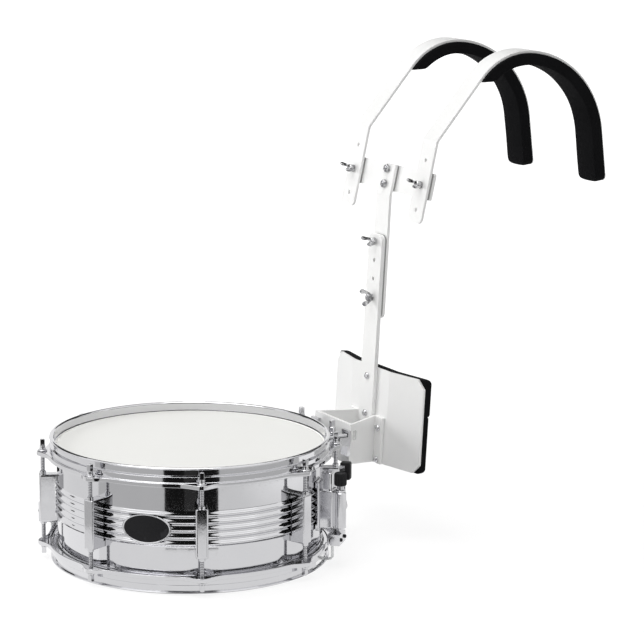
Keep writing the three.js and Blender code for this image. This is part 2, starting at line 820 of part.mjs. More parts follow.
// Snare wires: built along the line from the butt to the strainer
function makeSnareWires() {
  const top = rim_height - wire_drop;
  const bottom = top - end_plate_thickness - strand_width / 2;
  const half_length = shell_radius - strand_end_inset;
  const width = (strand_count - 1) * strand_pitch + strand_width * 2;
  const pieces = [];
  for (let i = 0; i < strand_count; i += 1) {
    const y = (i - (strand_count - 1) / 2) * strand_pitch;
    pieces.push(block([-half_length, y - strand_width / 2, top - strand_width],
      [half_length, y + strand_width / 2, top]));
  }
  [-1, 1].forEach((side) => {
    const ends = [half_length - end_plate_thickness, half_length + end_plate_length];
    const [from, to] = side > 0 ? ends : [-ends[1], -ends[0]];
    pieces.push(block([from, -width / 2, bottom], [to, width / 2, top - strand_width / 4]));
    pieces.push(makeTape(side, half_length + end_plate_length));
  });
  const wires = meshOf('snare_wires', joined(...pieces), steel);
  wires.rotation.z = (strainer_angle - 90) * degree;
  return wires;
}

// The tape dips under the hoop's flange, through the gate, and rises to the clamp
function makeTape(side, start) {
  const from = rim_height - wire_drop - strand_width;
  const turn = clamp_back + clamp_slot + seat_gap;
  const dip = from - tape_dip;
  const rise = clamp_bottom + tape_hold;
  const line = [[start - tape_dip, from], [upper_wall_inner, dip], [flange_outer + tape_rise_clearance / 2, dip],
    [turn, dip + tape_dip], [turn, rise]];
  const under = [[turn + tape_thickness, rise], [turn + tape_thickness, dip + tape_dip - tape_thickness],
    [flange_outer + tape_rise_clearance / 2, dip - tape_thickness], [upper_wall_inner, dip - tape_thickness],
    [start - tape_dip, from - tape_thickness]];
  const outline = polygon([...line, ...under].map(([x, z]) => [side * x, z]));
  return swept('y', outline, -tape_width / 2, tape_width / 2);
}

function makeDrum() {
  const drum = new THREE.Group();
  drum.add(makeShell(), makeBadge(), makeHead('batter_head', false, film_white));
  drum.add(makeHead('snare_head', true, film_clear));
  drum.add(makeHoop('batter_hoop', false), makeHoop('snare_hoop', true), makeTuning());
  drum.add(facing(strainer_angle, makeStrainerBody(), makeStrainerSlide(), makeStrainerKnob(),
    makeStrainerLever()));
  drum.add(facing(butt_angle, makeButt()), makeSnareWires());
  return drum;
}

// Carrier: the claws stand on the upper hoop's flange, and the spine hangs on the claws
const flange_level = drum_height - flange_depth;
const claw_side = claw_spacing / 2;
const claw_circle = flange_outer + claw_screw_clearance + rod_radius;
const claw_screw_y = Math.sqrt(claw_circle * claw_circle - claw_side * claw_side);
const lean = lean_degrees * degree;
const bracket_reach = bracket_depth + bracket_sheet + seat_gap;
const spine_y = claw_screw_y + claw_back + seat_gap + bracket_reach / Math.cos(lean);

// The y of the claws' backs at a height: they lie flat on the leaning bracket
function clawBackAt(height) {
  return claw_screw_y + claw_back + (height - flange_level) * Math.tan(lean);
}

// The room taken by the hoop: the jaws are shaped to its curve
function hoopRoom(base, reachAt) {
  return ringAround(hoopAngles([]), (angle) => {
    const reach = reachAt(angle);
    return [[0, drum_height], [reach, drum_height], [reach, base], [0, base]];
  });
}

function flangeReach(angle) {
  return flange_outer + ear_reach * swell(angle, nearestLug(angle), ear_spread_degrees);
}

function makeClaw(name, side) {
  const arm_top = drum_height - lip_depth - seat_gap;
  const arm_bottom = arm_top - claw_arm;
  const low = arm_bottom - claw_back_drop;
  const high = flange_level + jaw_thickness + claw_back_rise;
  const front = shell_radius - claw_arm;
  const step = claw_screw_y + claw_heel;
  const profile = polygon([
    [front, arm_bottom], [clawBackAt(arm_bottom) - claw_back_width, arm_bottom],
    [clawBackAt(low) - claw_back_width, low], [clawBackAt(low), low],
    [clawBackAt(high), high], [clawBackAt(high) - claw_back_width, high],
    [clawBackAt(flange_level) - claw_back_width, flange_level], [step, flange_level],
    [step, arm_top], [claw_screw_y, arm_top], [claw_screw_y - claw_hook_rise, flange_level],
    [front, flange_level],
  ]);
  const body = swept('x', profile, -claw_width / 2, claw_width / 2);
  const under = drum_height - flange_depth - hoop_wall - seat_gap;
  const shaped = cut(placedSolid(body, side * claw_side),
    hoopRoom(under, flangeReach),
    hoopRoom(low - cut_overrun, () => lower_wall_inner),
    lipRoom(arm_top));
  const bore = bar('z', rod_radius + seat_gap, arm_bottom - cut_overrun, flange_level + cut_overrun,
    [side * claw_side, claw_screw_y], rod_steps);
  return meshOf(name, cut(shaped, bore), chrome);
}

// The groove for the flange's lip
function lipRoom(bottom) {
  const section = (angle) => {
    const reach = flangeReach(angle);
    const inner = reach - hoop_wall - seat_gap;
    const outer = reach + seat_gap;
    return [[inner, flange_level], [outer, flange_level + claw_arm],
      [outer, bottom], [inner, bottom]];
  };
  return ringAround(hoopAngles([]), section);
}

function placedSolid(shape, x) {
  return shape.translate([x, 0, 0]);
}

function makeClawJaw(name, side) {
  const low = flange_level + seat_gap;
  const x = side * claw_side;
  const back = clawBackAt(low) - claw_back_width - seat_gap;
  const outline = roundedBox(x - claw_width / 2, shell_radius, x + claw_width / 2, back, claw_bevel * 2);
  const plate = swept('z', outline, low, low + jaw_thickness, claw_bevel);
  const hole = bar('z', rod_radius + rod_clearance, low - cut_overrun, low + jaw_thickness + cut_overrun,
    [x, claw_screw_y], rod_steps);
  const wall = hoopRoom(low - cut_overrun, () => lower_wall_outer + seat_gap);
  return meshOf(name, cut(plate, wall, hole), chrome);
}

function makeClawScrew(name, side) {
  const seat = flange_level + jaw_thickness + 2 * seat_gap;
  const stem = seat - (drum_height - lip_depth - claw_arm) + claw_screw_tail_length;
  const shape = skinned([
    rodRing(rod_radius, -stem, false), rodRing(rod_radius, 0, false),
    rodRing(washer_radius, 0, false), rodRing(washer_radius, washer_thickness, false),
    rodRing(claw_sleeve_radius, washer_thickness, false),
    rodRing(claw_sleeve_radius, washer_thickness + claw_sleeve_height, false),
    rodRing(key_width / 2, washer_thickness + claw_sleeve_height, true),
    rodRing(key_width / 2, claw_key_stand, true),
  ], false);
  const screw = meshOf(name, shape, chrome);
  screw.position.set(side * claw_side, claw_screw_y, seat);
  return screw;
}

// The spine's frame leans back: its origin is on the belly plate's front at the flange's level,
// +Z runs up the bars and +Y goes through them towards the wearer.
// A folded sheet: the line of one face, and the other face at a distance to its left
function foldedSheet(line, thickness) {
  const headings = line.slice(1).map(([x, y], i) => Math.atan2(y - line[i][1], x - line[i][0]));
  const other = line.map(([x, y], i) => {
    const before = headings[Math.max(i - 1, 0)];
    const after = headings[Math.min(i, headings.length - 1)];
    const reach = thickness / Math.cos((after - before) / 2);
    const heading = (after + before) / 2;
    return [x - reach * Math.sin(heading), y + reach * Math.cos(heading)];
  });
  return polygon([...line, ...other.reverse()]);
}

function domeHead(radius, height, x, face, z) {
  const ring = (share, y) => Array.from({ length: small_steps }, (_, i) => {
    const turn = (i * 2 * Math.PI) / small_steps;
    return [x + radius * share * Math.cos(turn), y, z + radius * share * Math.sin(turn)];
  });
  return skinned([ring(1, face + seat_gap), ring(1, face - height * dome_shoulder_share),
    ring(dome_share, face - height)], false);
}

function makeBracket() {
  const front = -bracket_reach;
  const seat = -seat_gap - bracket_sheet;
  const half = bracket_front_width / 2;
  const root = bracket_root_width / 2;
  const edge = root + bracket_flange_width;
  const line = [[-edge, seat], [-root, seat], [-half, front], [half, front], [root, seat], [edge, seat]];
  const tall = bracket_root_height / 2;
  const short = bracket_front_height / 2;
  const hat = swept('z', foldedSheet(line, bracket_sheet), -bracket_drop - tall, -bracket_drop + tall);
  const side = polygon([[front, -bracket_drop - short], [0, -bracket_drop - tall],
    [0, -bracket_drop + tall], [front, -bracket_drop + short]]);
  const trimmed = hat.intersect(swept('x', side, -half - cut_overrun, half + cut_overrun));
  const slot_y = front + bracket_slot_setback;
  const slot_z = -bracket_drop + bracket_slot_lift;
  const slot = swept('x', roundedBox(slot_y - bracket_slot_width / 2, slot_z - bracket_slot_height / 2,
    slot_y + bracket_slot_width / 2, slot_z + bracket_slot_height / 2, bracket_slot_width / 2),
  -half - cut_overrun, half + cut_overrun);
  const screws = [-1, 1].flatMap((x) => [-1, 1].map((z) => domeHead(bracket_screw_radius,
    bracket_screw_stand, (x * (root + edge)) / 2, seat,
    -bracket_drop - bracket_screw_drop + (z * bracket_screw_spacing) / 2)));
  return meshOf('bracket', joined(cut(trimmed, slot), ...screws), white_coat);
}

// Belly plate and pad
function bellyLine(y, inset = 0) {
  const half = plate_flat_width / 2;
  const turn = plate_wing_degrees * degree;
  const shift = y * Math.tan(turn / 2);
  const reach = plate_wing - inset;
  const [x, back] = [reach * Math.cos(turn), reach * Math.sin(turn)];
  const fold = half - shift;
  const end = [half + x - y * Math.sin(turn), y * Math.cos(turn) + back];
  return [[-end[0], end[1]], [-fold, y], [fold, y], end];
}

function makeBellyPlate() {
  const [low, high] = [-plate_drop, plate_rise];
  const sheet = swept('z', foldedSheet(bellyLine(0), plate_thickness), low, high);
  const edge = bellyLine(0)[3][0];
  const c = plate_chamfer;
  const outline = polygon([[-edge + c, low], [edge - c, low], [edge, low + c], [edge, high - c],
    [edge - c, high], [-edge + c, high], [-edge, high - c], [-edge, low + c]]);
  return meshOf('belly_plate', sheet.intersect(swept('y', outline, -plate_thickness, plate_wing)), white_coat);
}

// Each row of the pad has a height, a depth and how far its ends stand in
function bellyPadRows() {
  const [low, high] = [-plate_drop, plate_rise];
  const seam = belly_pad_seam_height;
  const r = belly_pad_round;
  const full = belly_pad_thickness;
  const thin = full - belly_pad_lower_step;
  const near = r * round_share;
  return [[low, thin - r, r], [low + near, thin - near, near], [low + r, thin, 0],
    [seam - belly_pad_lower_step, thin, 0], [seam, thin - belly_pad_groove, 0],
    [seam + belly_pad_lower_step, full, 0], [high - r, full, 0],
    [high - near, full - near, near], [high, full - r, r]];
}

function makeBellyPad() {
  const start = plate_thickness + seat_gap;
  const r = belly_pad_round;
  const rings = bellyPadRows().map(([z, depth, inset]) => {
    const front = bellyLine(start, inset);
    const back = bellyLine(start + depth, inset).reverse();
    const loop = [...front, ...roundedEnd(back[0], front[3], r), back[1],
      [0, start + depth + belly_pad_crown], back[2], ...roundedEnd(back[3], front[0], r).reverse()];
    return loop.map(([x, y]) => [x, y, z]);
  });
  return meshOf('belly_pad', skinned(rings, false), black_foam);
}

// Two points that round the corner where the pad's side meets its back
function roundedEnd(corner, seat, radius) {
  const side = Math.sign(corner[0]);
  const toSeat = new THREE.Vector2(seat[0] - corner[0], seat[1] - corner[1]);
  toSeat.normalize().multiplyScalar(radius * (1 - round_share));
  const along = plate_wing_degrees * degree;
  return [
    [corner[0] + toSeat.x, corner[1] + toSeat.y],
    [corner[0] - side * radius * Math.cos(along), corner[1] - radius * Math.sin(along)],
  ];
}

// Uprights
function barPlate(width, low, high, from, thickness, corner) {
  const outline = roundedBox(-width / 2, low, width / 2, high, corner);
  return swept('y', outline, from, from + thickness);
}

const lower_face = -seat_gap - lower_bar_thickness;
const upper_face = liner_thickness + seat_gap;
const top_hole = lower_bar_top - top_hole_inset;
const wing_levels = [top_hole, top_hole - 3 * bar_hole_pitch];

function barHole(level, radius = bar_hole_radius + seat_gap) {
  const far = lower_bar_thickness * 3;
  return bar('y', radius, -far, far, [0, level]);
}

function makeLowerUpright() {
  const plate = barPlate(bar_width, lower_bar_start, lower_bar_top, lower_face, lower_bar_thickness, bar_corner);
  const holes = Array.from({ length: bar_hole_count }, (_, i) => barHole(top_hole - i * bar_hole_pitch));
  const heads = belly_bolt_heights.map(
    (height) => domeHead(bolt_head_radius, bolt_head_height, 0, lower_face, height));
  return meshOf('lower_upright', joined(cut(plate, ...holes), ...heads), white_coat);
}

function makeUprightLiner() {
  const plate = barPlate(bar_width, upper_bar_start, lower_bar_top, 0, liner_thickness, bar_corner);
  return meshOf('upright_liner', cut(plate, ...wing_levels.map((level) => barHole(level))), liner_grey);
}

const top_lean = (top_lean_degrees - lean_degrees) * degree;
const cross_top = cross_start + cross_height;

function makeUpperUpright() {
  const end = [upper_face + cross_top * Math.sin(top_lean), upper_bend_height + cross_top * Math.cos(top_lean)];
  const low = upper_bar_start;
  const line = [end, [upper_face, upper_bend_height], [upper_face, low + bar_corner]];
  const half = bar_width / 2;
  const strip = swept('x', foldedSheet(line, upper_bar_thickness), -half, half);
  const tail = barPlate(bar_width, low, upper_bend_height - bar_width, upper_face, upper_bar_thickness, bar_corner);
  const slot_half = wing_thread_radius + slot_clearance;
  const slot = swept('y', roundedBox(-slot_half, low + slot_bottom_inset, slot_half,
    top_hole + wing_thread_radius + slot_top_margin, slot_half), 0, upper_face + upper_bar_thickness * 2);
  return meshOf('upper_upright', joined(cut(joined(strip, tail), slot), ...crossBolts()), white_coat);
}

function crossBolts() {
  const first = cross_top - cross_bolt_inset;
  return [first, first - cross_bolt_spacing].map((level) => {
    const bolt = bar('y', cross_bolt_radius, -cross_bolt_height, seat_gap, [0, level], 6);
    return bolt.rotate([-top_lean / degree, 0, 0]).translate([0, upper_face, upper_bend_height]);
  });
}

// Cross plate and liners, in a frame on the upper bar's front face at its bend
const liner_front = upper_bar_thickness + seat_gap;
const cross_front = liner_front + liner_thickness + seat_gap;
const strap_bolt_level = cross_start + cross_height / 2;
const strap_x = strap_spacing / 2;
const cross_half = (strap_spacing + strap_width) / 2 + cross_overhang;

function strapHole(x, level) {
  return bar('y', strap_hole_radius + seat_gap, -cut_overrun, cross_front + cross_thickness + cut_overrun,
    [x, level]);
}

function makeCrossPlate() {
  const outline = roundedBox(-cross_half, cross_start, cross_half, cross_top, cross_corner);
  const plate = swept('y', outline, cross_front, cross_front + cross_thickness);
  const holes = [-1, 1].map((side) => strapHole(side * strap_x, strap_bolt_level));
  return meshOf('cross_plate', cut(plate, ...holes), white_coat);
}

function makeCrossLiner() {
  const plate = barPlate(bar_width, cross_start, cross_top, liner_front, liner_thickness, cross_corner);
  return meshOf('cross_liner', plate, liner_grey);
}

function makeStrapLiner(name, side) {
  const plate = barPlate(strap_width, cross_start, cross_top, liner_front, liner_thickness, cross_corner);
  const liner = cut(plate, strapHole(0, strap_bolt_level));
  const mesh = meshOf(name, liner, liner_grey);
  mesh.position.x = side * strap_x;
  return mesh;
}

// Straps: stations along the outer face, each a point [y, z] and a heading from +Z towards +Y
function walk(start, legs) {
  const stations = [start];
  let { y, z, heading } = start;
  let run = 0;
  const go = (length) => {
    y += length * Math.sin(heading);
    z += length * Math.cos(heading);
  };
  legs.forEach(({ length = 0, radius = 0, turn = 0, steps = 1 }) => {
    for (let i = 0; i < steps; i += 1) {
      const half = turn / steps / 2;
      heading += half;
      go(radius > 0 ? 2 * radius * Math.sin(half) : length / steps);
      heading += half;
      run += radius > 0 ? 2 * radius * half : length / steps;
      stations.push({ y, z, heading, run });
    }
  });
  return stations;
}

function inward({ y, z, heading }, distance) {
  return [y + distance * Math.cos(heading), z - distance * Math.sin(heading)];
}

const strap_legs = [
  { length: strap_foot_length - strap_corner + strap_front_length },
  { radius: strap_kink_radius, turn: strap_kink_degrees * degree, steps: strap_kink_steps },
  { length: strap_incline_length },
];
const shoulder_legs = [
  { radius: strap_front_radius, turn: strap_front_degrees * degree, steps: strap_front_steps },
  { radius: strap_back_radius, turn: strap_back_degrees * degree, steps: strap_back_steps },
];

// A strap's origin is on its wing screw's axis at the strap's front face
function makeStrap(name, side) {
  const start = { y: 0, z: strap_corner - strap_foot_length, heading: 0, run: 0 };
  const stations = walk(start, [...strap_legs, ...shoulder_legs, { length: strap_tail_length }]);
  const front = stations.map((station) => [station.y, station.z]);
  const back = stations.map((station) => inward(station, strap_thickness)).reverse();
  const strip = swept('x', polygon([...front, ...back]), -strap_width / 2, strap_width / 2);
  const foot = barPlate(strap_width, -strap_foot_length, strap_front_length - strap_corner, 0, strap_thickness, strap_corner);
  const holes = [-1, 0, 1].map((i) => bar('y', strap_hole_radius + seat_gap, -cut_overrun,
    strap_thickness + cut_overrun, [0, i * strap_hole_pitch]));
  const strap = meshOf(name, cut(joined(strip, foot), ...holes), white_coat);
  strap.position.set(side * strap_x, 0, strap_bolt_level);
  return strap;
}

function padDepth(run, total) {
  const nose = pad_tip_thickness + ((pad_thickness - pad_tip_thickness) * run) / pad_nose_length;
  const left = total - run;
  const round = Math.max(pad_end_radius - left, 0);
  const fall = pad_end_radius - Math.sqrt(Math.max(pad_end_radius ** 2 - round ** 2, 0));
  return Math.min(nose, pad_thickness - fall);
}

function makePad(name, side) {
  const start = { y: 0, z: strap_corner - strap_foot_length, heading: 0, run: 0 };
  const lead = walk(start, strap_legs).pop();
  lead.y -= pad_lead_length * Math.sin(lead.heading);
  lead.z -= pad_lead_length * Math.cos(lead.heading);
  lead.run = 0;
  const straight = strap_tail_length - pad_end_radius - pad_tail_gap;
  const stations = walk(lead, [{ length: pad_lead_length }, ...shoulder_legs, { length: straight },
    { length: pad_end_radius, steps: pad_end_steps }]);
  const total = stations[stations.length - 1].run;
  const half = pad_width / 2;
  const rings = stations.map((station) => {
    const depth = padDepth(station.run, total);
    const section = [[-half, 0], [half, 0], [half, depth - pad_crown], [half / 2, depth - pad_crown / 4],
      [0, depth], [-half / 2, depth - pad_crown / 4], [-half, depth - pad_crown]];
    return section.map(([x, d]) => [x, ...inward(station, strap_thickness + seat_gap + d)]);
  });
  const pad = meshOf(name, skinned(rings, false), black_foam);
  pad.position.set(side * strap_x, 0, strap_bolt_level);
  return pad;
}

// Wing screws: the origin is on the seat, the wings stand off towards -Y, a flat head closes the far side
function makeWingScrew(name, grip, turn = wing_turn_degrees) {
  const seat = -seat_gap;
  const top = seat - wing_boss_height;
  const boss = bar('y', wing_boss_radius, top, seat, [0, 0]);
  const thread = bar('y', wing_thread_radius, top, grip + 2 * seat_gap, [0, 0], rod_steps);
  const head = bar('y', wing_head_radius, grip + seat_gap, grip + seat_gap + wing_head_height, [0, 0]);
  const [half, r] = [wing_span / 2, wing_boss_radius];
  const tip = top - wing_rise;
  const foot = seat - wing_foot;
  const wings = swept('z', polygon([[-r, foot], [-half, tip], [-half + wing_tip_width, tip], [-r, top],
    [r, top], [half - wing_tip_width, tip], [half, tip], [r, foot]]), -wing_thickness / 2, wing_thickness / 2);
  const screw = meshOf(name, joined(boss, thread, head, wings), chrome);
  screw.rotation.y = turn * degree;
  return screw;
}

function makeTop() {
  const top = new THREE.Group();
  const stack = cross_front + cross_thickness;
  top.add(makeCrossPlate(), makeCrossLiner());
  [['left', -1], ['right', 1]].forEach(([side, sign]) => {
    const screw = makeWingScrew(`strap_wing_screw_${side}`, stack);
    screw.position.set(sign * strap_x, 0, strap_bolt_level);
    top.add(makeStrapLiner(`strap_liner_${side}`, sign), screw);
    top.add(makeStrap(`shoulder_strap_${side}`, sign), makePad(`shoulder_pad_${side}`, sign));
  });
  top.position.set(0, upper_face, upper_bend_height);
  top.rotation.x = -top_lean;
  return top;
}

function makeCarrier() {
  const carrier = new THREE.Group();
  [['left', -1], ['right', 1]].forEach(([side, sign]) => {
    carrier.add(makeClaw(`claw_${side}`, sign), makeClawJaw(`claw_jaw_${side}`, sign));
    carrier.add(makeClawScrew(`claw_screw_${side}`, sign));
  });
  const spine = new THREE.Group();
  spine.position.set(0, spine_y, flange_level);
  spine.rotation.x = -lean;
  spine.add(makeBracket(), makeBellyPlate(), makeBellyPad(), makeLowerUpright());
  spine.add(makeUprightLiner(), makeUpperUpright(), makeTop());
  const stack = upper_face + upper_bar_thickness - lower_face;
  wing_levels.forEach((level, i) => {
    const turn = i === 0 ? wing_turn_degrees : low_wing_turn_degrees;
    const screw = makeWingScrew(`upright_wing_screw_${i + 1}`, stack, turn);
    screw.position.set(0, lower_face, level);
    spine.add(screw);
  });
  carrier.add(spine);
  return carrier;
}

const model = new THREE.Group();
model.name = 'marching_snare_drum';
model.add(makeDrum(), makeCarrier());
model.updateMatrixWorld(true);
const box = new THREE.Box3().setFromObject(model, true);
const centre = box.getCenter(new THREE.Vector3());
model.position.set(-centre.x, -centre.y, -box.min.z);
model.updateMatrixWorld(true);

export default model;
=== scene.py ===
from math import cos, exp, hypot, pi, radians, sin, sqrt, tan
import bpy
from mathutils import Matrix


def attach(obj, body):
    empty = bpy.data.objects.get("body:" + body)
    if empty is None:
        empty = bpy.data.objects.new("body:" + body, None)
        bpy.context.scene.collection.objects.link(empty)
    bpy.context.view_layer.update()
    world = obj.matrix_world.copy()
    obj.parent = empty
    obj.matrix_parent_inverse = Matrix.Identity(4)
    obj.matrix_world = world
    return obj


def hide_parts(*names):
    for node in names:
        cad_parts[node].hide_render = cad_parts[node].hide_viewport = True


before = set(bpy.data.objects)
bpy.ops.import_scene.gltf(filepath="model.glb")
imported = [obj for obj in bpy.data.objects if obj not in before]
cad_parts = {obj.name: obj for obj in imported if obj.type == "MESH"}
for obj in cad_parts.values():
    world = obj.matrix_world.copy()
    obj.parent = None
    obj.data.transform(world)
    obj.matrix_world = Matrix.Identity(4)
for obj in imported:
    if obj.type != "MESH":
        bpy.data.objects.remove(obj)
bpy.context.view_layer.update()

from types import SimpleNamespace

import bmesh
import bpy
from bpy.props import FloatProperty, FloatVectorProperty, IntProperty, PointerProperty
from mathutils import Matrix, Vector

bl_info = {
    "name": "Marching snare drum",
    "version": (1, 0, 0),
    "blender": (4, 5, 0),
    "location": "View3D > Sidebar > Snare drum",
    "description": "Dresses a marching snare drum and its shoulder carrier",
    "category": "Object",
}

# Places of the drum and the carrier, in millimetres and degrees

STILL = Matrix.Identity(4)


def at(place, x=0, y=0, z=0, axis="X", turn=0):
    """A place moved along its own axes and then turned about one of them."""
    return place @ Matrix.Translation((x, y, z)) @ Matrix.Rotation(radians(turn), 4, axis)


def around(angle):
    """A place on the drum's axis whose +X points outwards at an angle round the drum."""
    return at(STILL, y=AXIS_Y, axis="Z", turn=angle - 90)


MM_PER_METRE = 1000
AXIS_Y = -200.1201
DRUM_HEIGHT = 166
MIDDLE = DRUM_HEIGHT / 2
LUG_ANGLES = [22.5 + 45 * i for i in range(8)]
ROD_REACH = 18.5
SEAT_GAP, BEAD_GAP = 0.3, 0.5
STRAINER_ANGLE, BUTT_ANGLE, VENT_ANGLE, BADGE_ANGLE = 135, 315, 225, 45
SPINE = at(STILL, y=74.8095, z=146.5, turn=-3.2)
TOP = at(SPINE, y=1.9, z=320, turn=-9.2)
SIDES = (("left", -1), ("right", 1))
END_TURNS = {1: 0, -1: 180}


# Shader graph

class Term:
    """A socket that takes part in Python arithmetic."""

    def __init__(self, graph, socket):
        self.graph = graph
        self.socket = socket

    def __add__(self, other):
        return self.graph.math("ADD", self, other)

    def __radd__(self, other):
        return self.graph.math("ADD", other, self)

    def __sub__(self, other):
        return self.graph.math("SUBTRACT", self, other)

    def __rsub__(self, other):
        return self.graph.math("SUBTRACT", other, self)

    def __mul__(self, other):
        return self.graph.math("MULTIPLY", self, other)

    def __rmul__(self, other):
        return self.graph.math("MULTIPLY", other, self)

    def above(self, edge, width):
        """0 under an edge, 1 over it, with a soft step of a width."""
        ramp = self.graph.node("ShaderNodeMapRange", {"interpolation_type": "SMOOTHSTEP"},
                               {"Value": self, "From Min": edge - width / 2, "From Max": edge + width / 2})
        return Term(self.graph, ramp.outputs["Result"])


class Graph:
    """The node tree of a material or world, with one method that adds any node."""

    def __init__(self, owner):
        owner.use_nodes = True
        self.tree = owner.node_tree
        self.tree.nodes.clear()

    def node(self, kind, settings=None, inputs=None):
        node = self.tree.nodes.new(kind)
        for name, value in (settings or {}).items():
            setattr(node, name, value)
        for name, value in (inputs or {}).items():
            socket = node.inputs[name]
            if isinstance(value, Term):
                value = value.socket
            if isinstance(value, bpy.types.NodeSocket):
                self.tree.links.new(value, socket)
            elif hasattr(socket.default_value, "__len__") and len(socket.default_value) == len(value) + 1:
                socket.default_value = (*value, 1)
            else:
                socket.default_value = value
        return node

    def math(self, operation, *terms):
        node = self.node("ShaderNodeMath", {"operation": operation}, dict(enumerate(terms)))
        return Term(self, node.outputs[0])

    def place(self):
        """Positions in the row frame, in metres."""
        return self.node("ShaderNodeTexCoord").outputs["Object"]

    def noise(self, size, detail=3.0, roughness=0.5):
        """Noise whose features are about a size in metres across."""
        inputs = {"Vector": self.place(), "Scale": 1 / size, "Detail": detail, "Roughness": roughness}
        return Term(self, self.node("ShaderNodeTexNoise", {"noise_dimensions": "3D"}, inputs).outputs["Fac"])

    def cells(self, size):
        """Distances from the middles of cells that are about a size in metres across."""
        inputs = {"Vector": self.place(), "Scale": 1 / size}
        return Term(self, self.node("ShaderNodeTexVoronoi", {"feature": "F1"}, inputs).outputs["Distance"])

    def mix(self, factor, low, high):
        inputs = {"Factor": factor, 6: low, 7: high}
        return self.node("ShaderNodeMix", {"data_type": "RGBA"}, inputs).outputs[2]

    def blend(self, factor, low, high):
        return self.node("ShaderNodeMixShader", None, {0: factor, 1: low.outputs[0], 2: high.outputs[0]})

    def output(self, kind, shader):
        self.node(kind, None, {"Surface": shader.outputs[0]})

    def principled(self, **inputs):
        shader = self.node("ShaderNodeBsdfPrincipled", None,
                           {name.replace("_", " "): value for name, value in inputs.items()})
        self.output("ShaderNodeOutputMaterial", shader)

    def surface(self, tint, roughness, relief, depth, **inputs):
        """A principled surface whose relief is a height over a depth in metres."""
        bump = self.node("ShaderNodeBump", None, {"Height": relief, "Distance": depth, "Strength": 1.0})
        self.principled(Base_Color=tint, Roughness=roughness, Normal=bump.outputs["Normal"], **inputs)


# Finishes

def build_chrome(graph, finishes):
    haze = graph.noise(0.03, 4.0, 0.6)
    marks = graph.noise(0.004, 2.0).above(0.66, 0.06)
    tint = graph.mix(haze, tuple(finishes.chrome), (0.66, 0.66, 0.68))
    roughness = 0.045 + haze * 0.05 + marks * 0.05
    graph.surface(tint, roughness, graph.noise(0.018, 2.0, 0.4), 0.00006, Metallic=1.0)


def build_cast_chrome(graph, finishes):
    haze = graph.noise(0.012, 4.0, 0.6)
    pits = graph.noise(0.0012, 2.0).above(0.7, 0.05)
    tint = graph.mix(haze, tuple(finishes.chrome), (0.62, 0.62, 0.64))
    graph.surface(tint, 0.07 + haze * 0.07 + pits * 0.08, graph.noise(0.006, 2.0), 0.00005, Metallic=1.0)


def build_thread(graph, finishes):
    turns = graph.node("ShaderNodeTexWave", {"wave_type": "BANDS", "bands_direction": "Z"},
                       {"Vector": graph.place(), "Scale": 1 / 0.0011 / 6.2832, "Distortion": 0.0})
    groove_and_shade = Term(graph, turns.outputs["Fac"])
    # Darker in the grooves: painted shade in the thread's recesses, on the same bands that give its relief
    tint = graph.mix(groove_and_shade, (0.26, 0.26, 0.28), tuple(finishes.chrome))
    graph.surface(tint, 0.16 + graph.noise(0.008) * 0.12, groove_and_shade, 0.00025, Metallic=1.0)


def build_zinc(graph, finishes):
    haze = graph.noise(0.006, 4.0, 0.6)
    # The darker patches in the zinc's colour are a painted reflection of a dark studio
    tint = graph.mix(haze.above(0.5, 0.12), tuple(finishes.zinc), (0.24, 0.24, 0.25))
    graph.surface(tint, 0.1 + haze * 0.12 + graph.cells(0.0016) * 0.05, haze, 0.0001, Metallic=1.0)


def build_wire(graph, finishes):
    haze = graph.noise(0.02)
    tint = graph.mix(haze, (0.42, 0.42, 0.44), (0.52, 0.52, 0.54))
    graph.surface(tint, 0.24 + haze * 0.12, graph.noise(0.0011, 1.0), 0.0002, Metallic=1.0)


def build_coated_film(graph, finishes):
    speckle = graph.noise(0.0009, 4.0, 0.7)
    tint = graph.mix(graph.noise(0.09, 3.0, 0.55), tuple(finishes.coated_film), (0.90, 0.90, 0.87))
    graph.surface(tint, 0.62 + speckle * 0.2, speckle, 0.00012)


def build_clear_film(graph, finishes):
    cloud = graph.noise(0.06, 3.0, 0.55)
    tint = graph.mix(cloud, (0.80, 0.83, 0.83), (0.88, 0.89, 0.89))
    graph.surface(tint, 0.22 + cloud * 0.16, graph.noise(0.01, 2.0), 0.00005, Alpha=0.5 + cloud * 0.16)


def build_badge(graph, finishes):
    grain = graph.noise(0.0015)
    wear = graph.noise(0.02, 4.0, 0.6).above(0.62, 0.1)
    tint = graph.mix(wear, tuple(finishes.badge), (0.028, 0.028, 0.032))
    graph.surface(tint, 0.34 + grain * 0.14, grain, 0.00002, Specular_IOR_Level=0.22)


def build_moulded(graph, finishes):
    grain = graph.noise(0.0007, 3.0, 0.6)
    tint = graph.mix(graph.noise(0.02), tuple(finishes.black_plastic), (0.021, 0.021, 0.023))
    graph.surface(tint, 0.42 + grain * 0.2, grain, 0.00006, Specular_IOR_Level=0.24)


def build_powder_coat(graph, finishes):
    peel = graph.noise(0.0016, 2.0)
    rub = graph.noise(0.011, 5.0, 0.7).above(0.69, 0.08)
    tint = graph.mix(graph.noise(0.07, 4.0, 0.6), tuple(finishes.powder_coat), (0.86, 0.86, 0.85))
    worn = graph.mix(rub * 0.35, tint, (0.78, 0.78, 0.77))
    graph.surface(worn, 0.3 + peel * 0.16 + rub * 0.08, peel, 0.00006)


# The liners' grey is partly painted shade: the shade between the overlapping plates
def build_liner(graph, finishes):
    grain = graph.noise(0.0009, 3.0, 0.6)
    tint = graph.mix(grain, tuple(finishes.liner), (0.33, 0.33, 0.33))
    graph.surface(tint, 0.7 + grain * 0.2, grain, 0.00015)


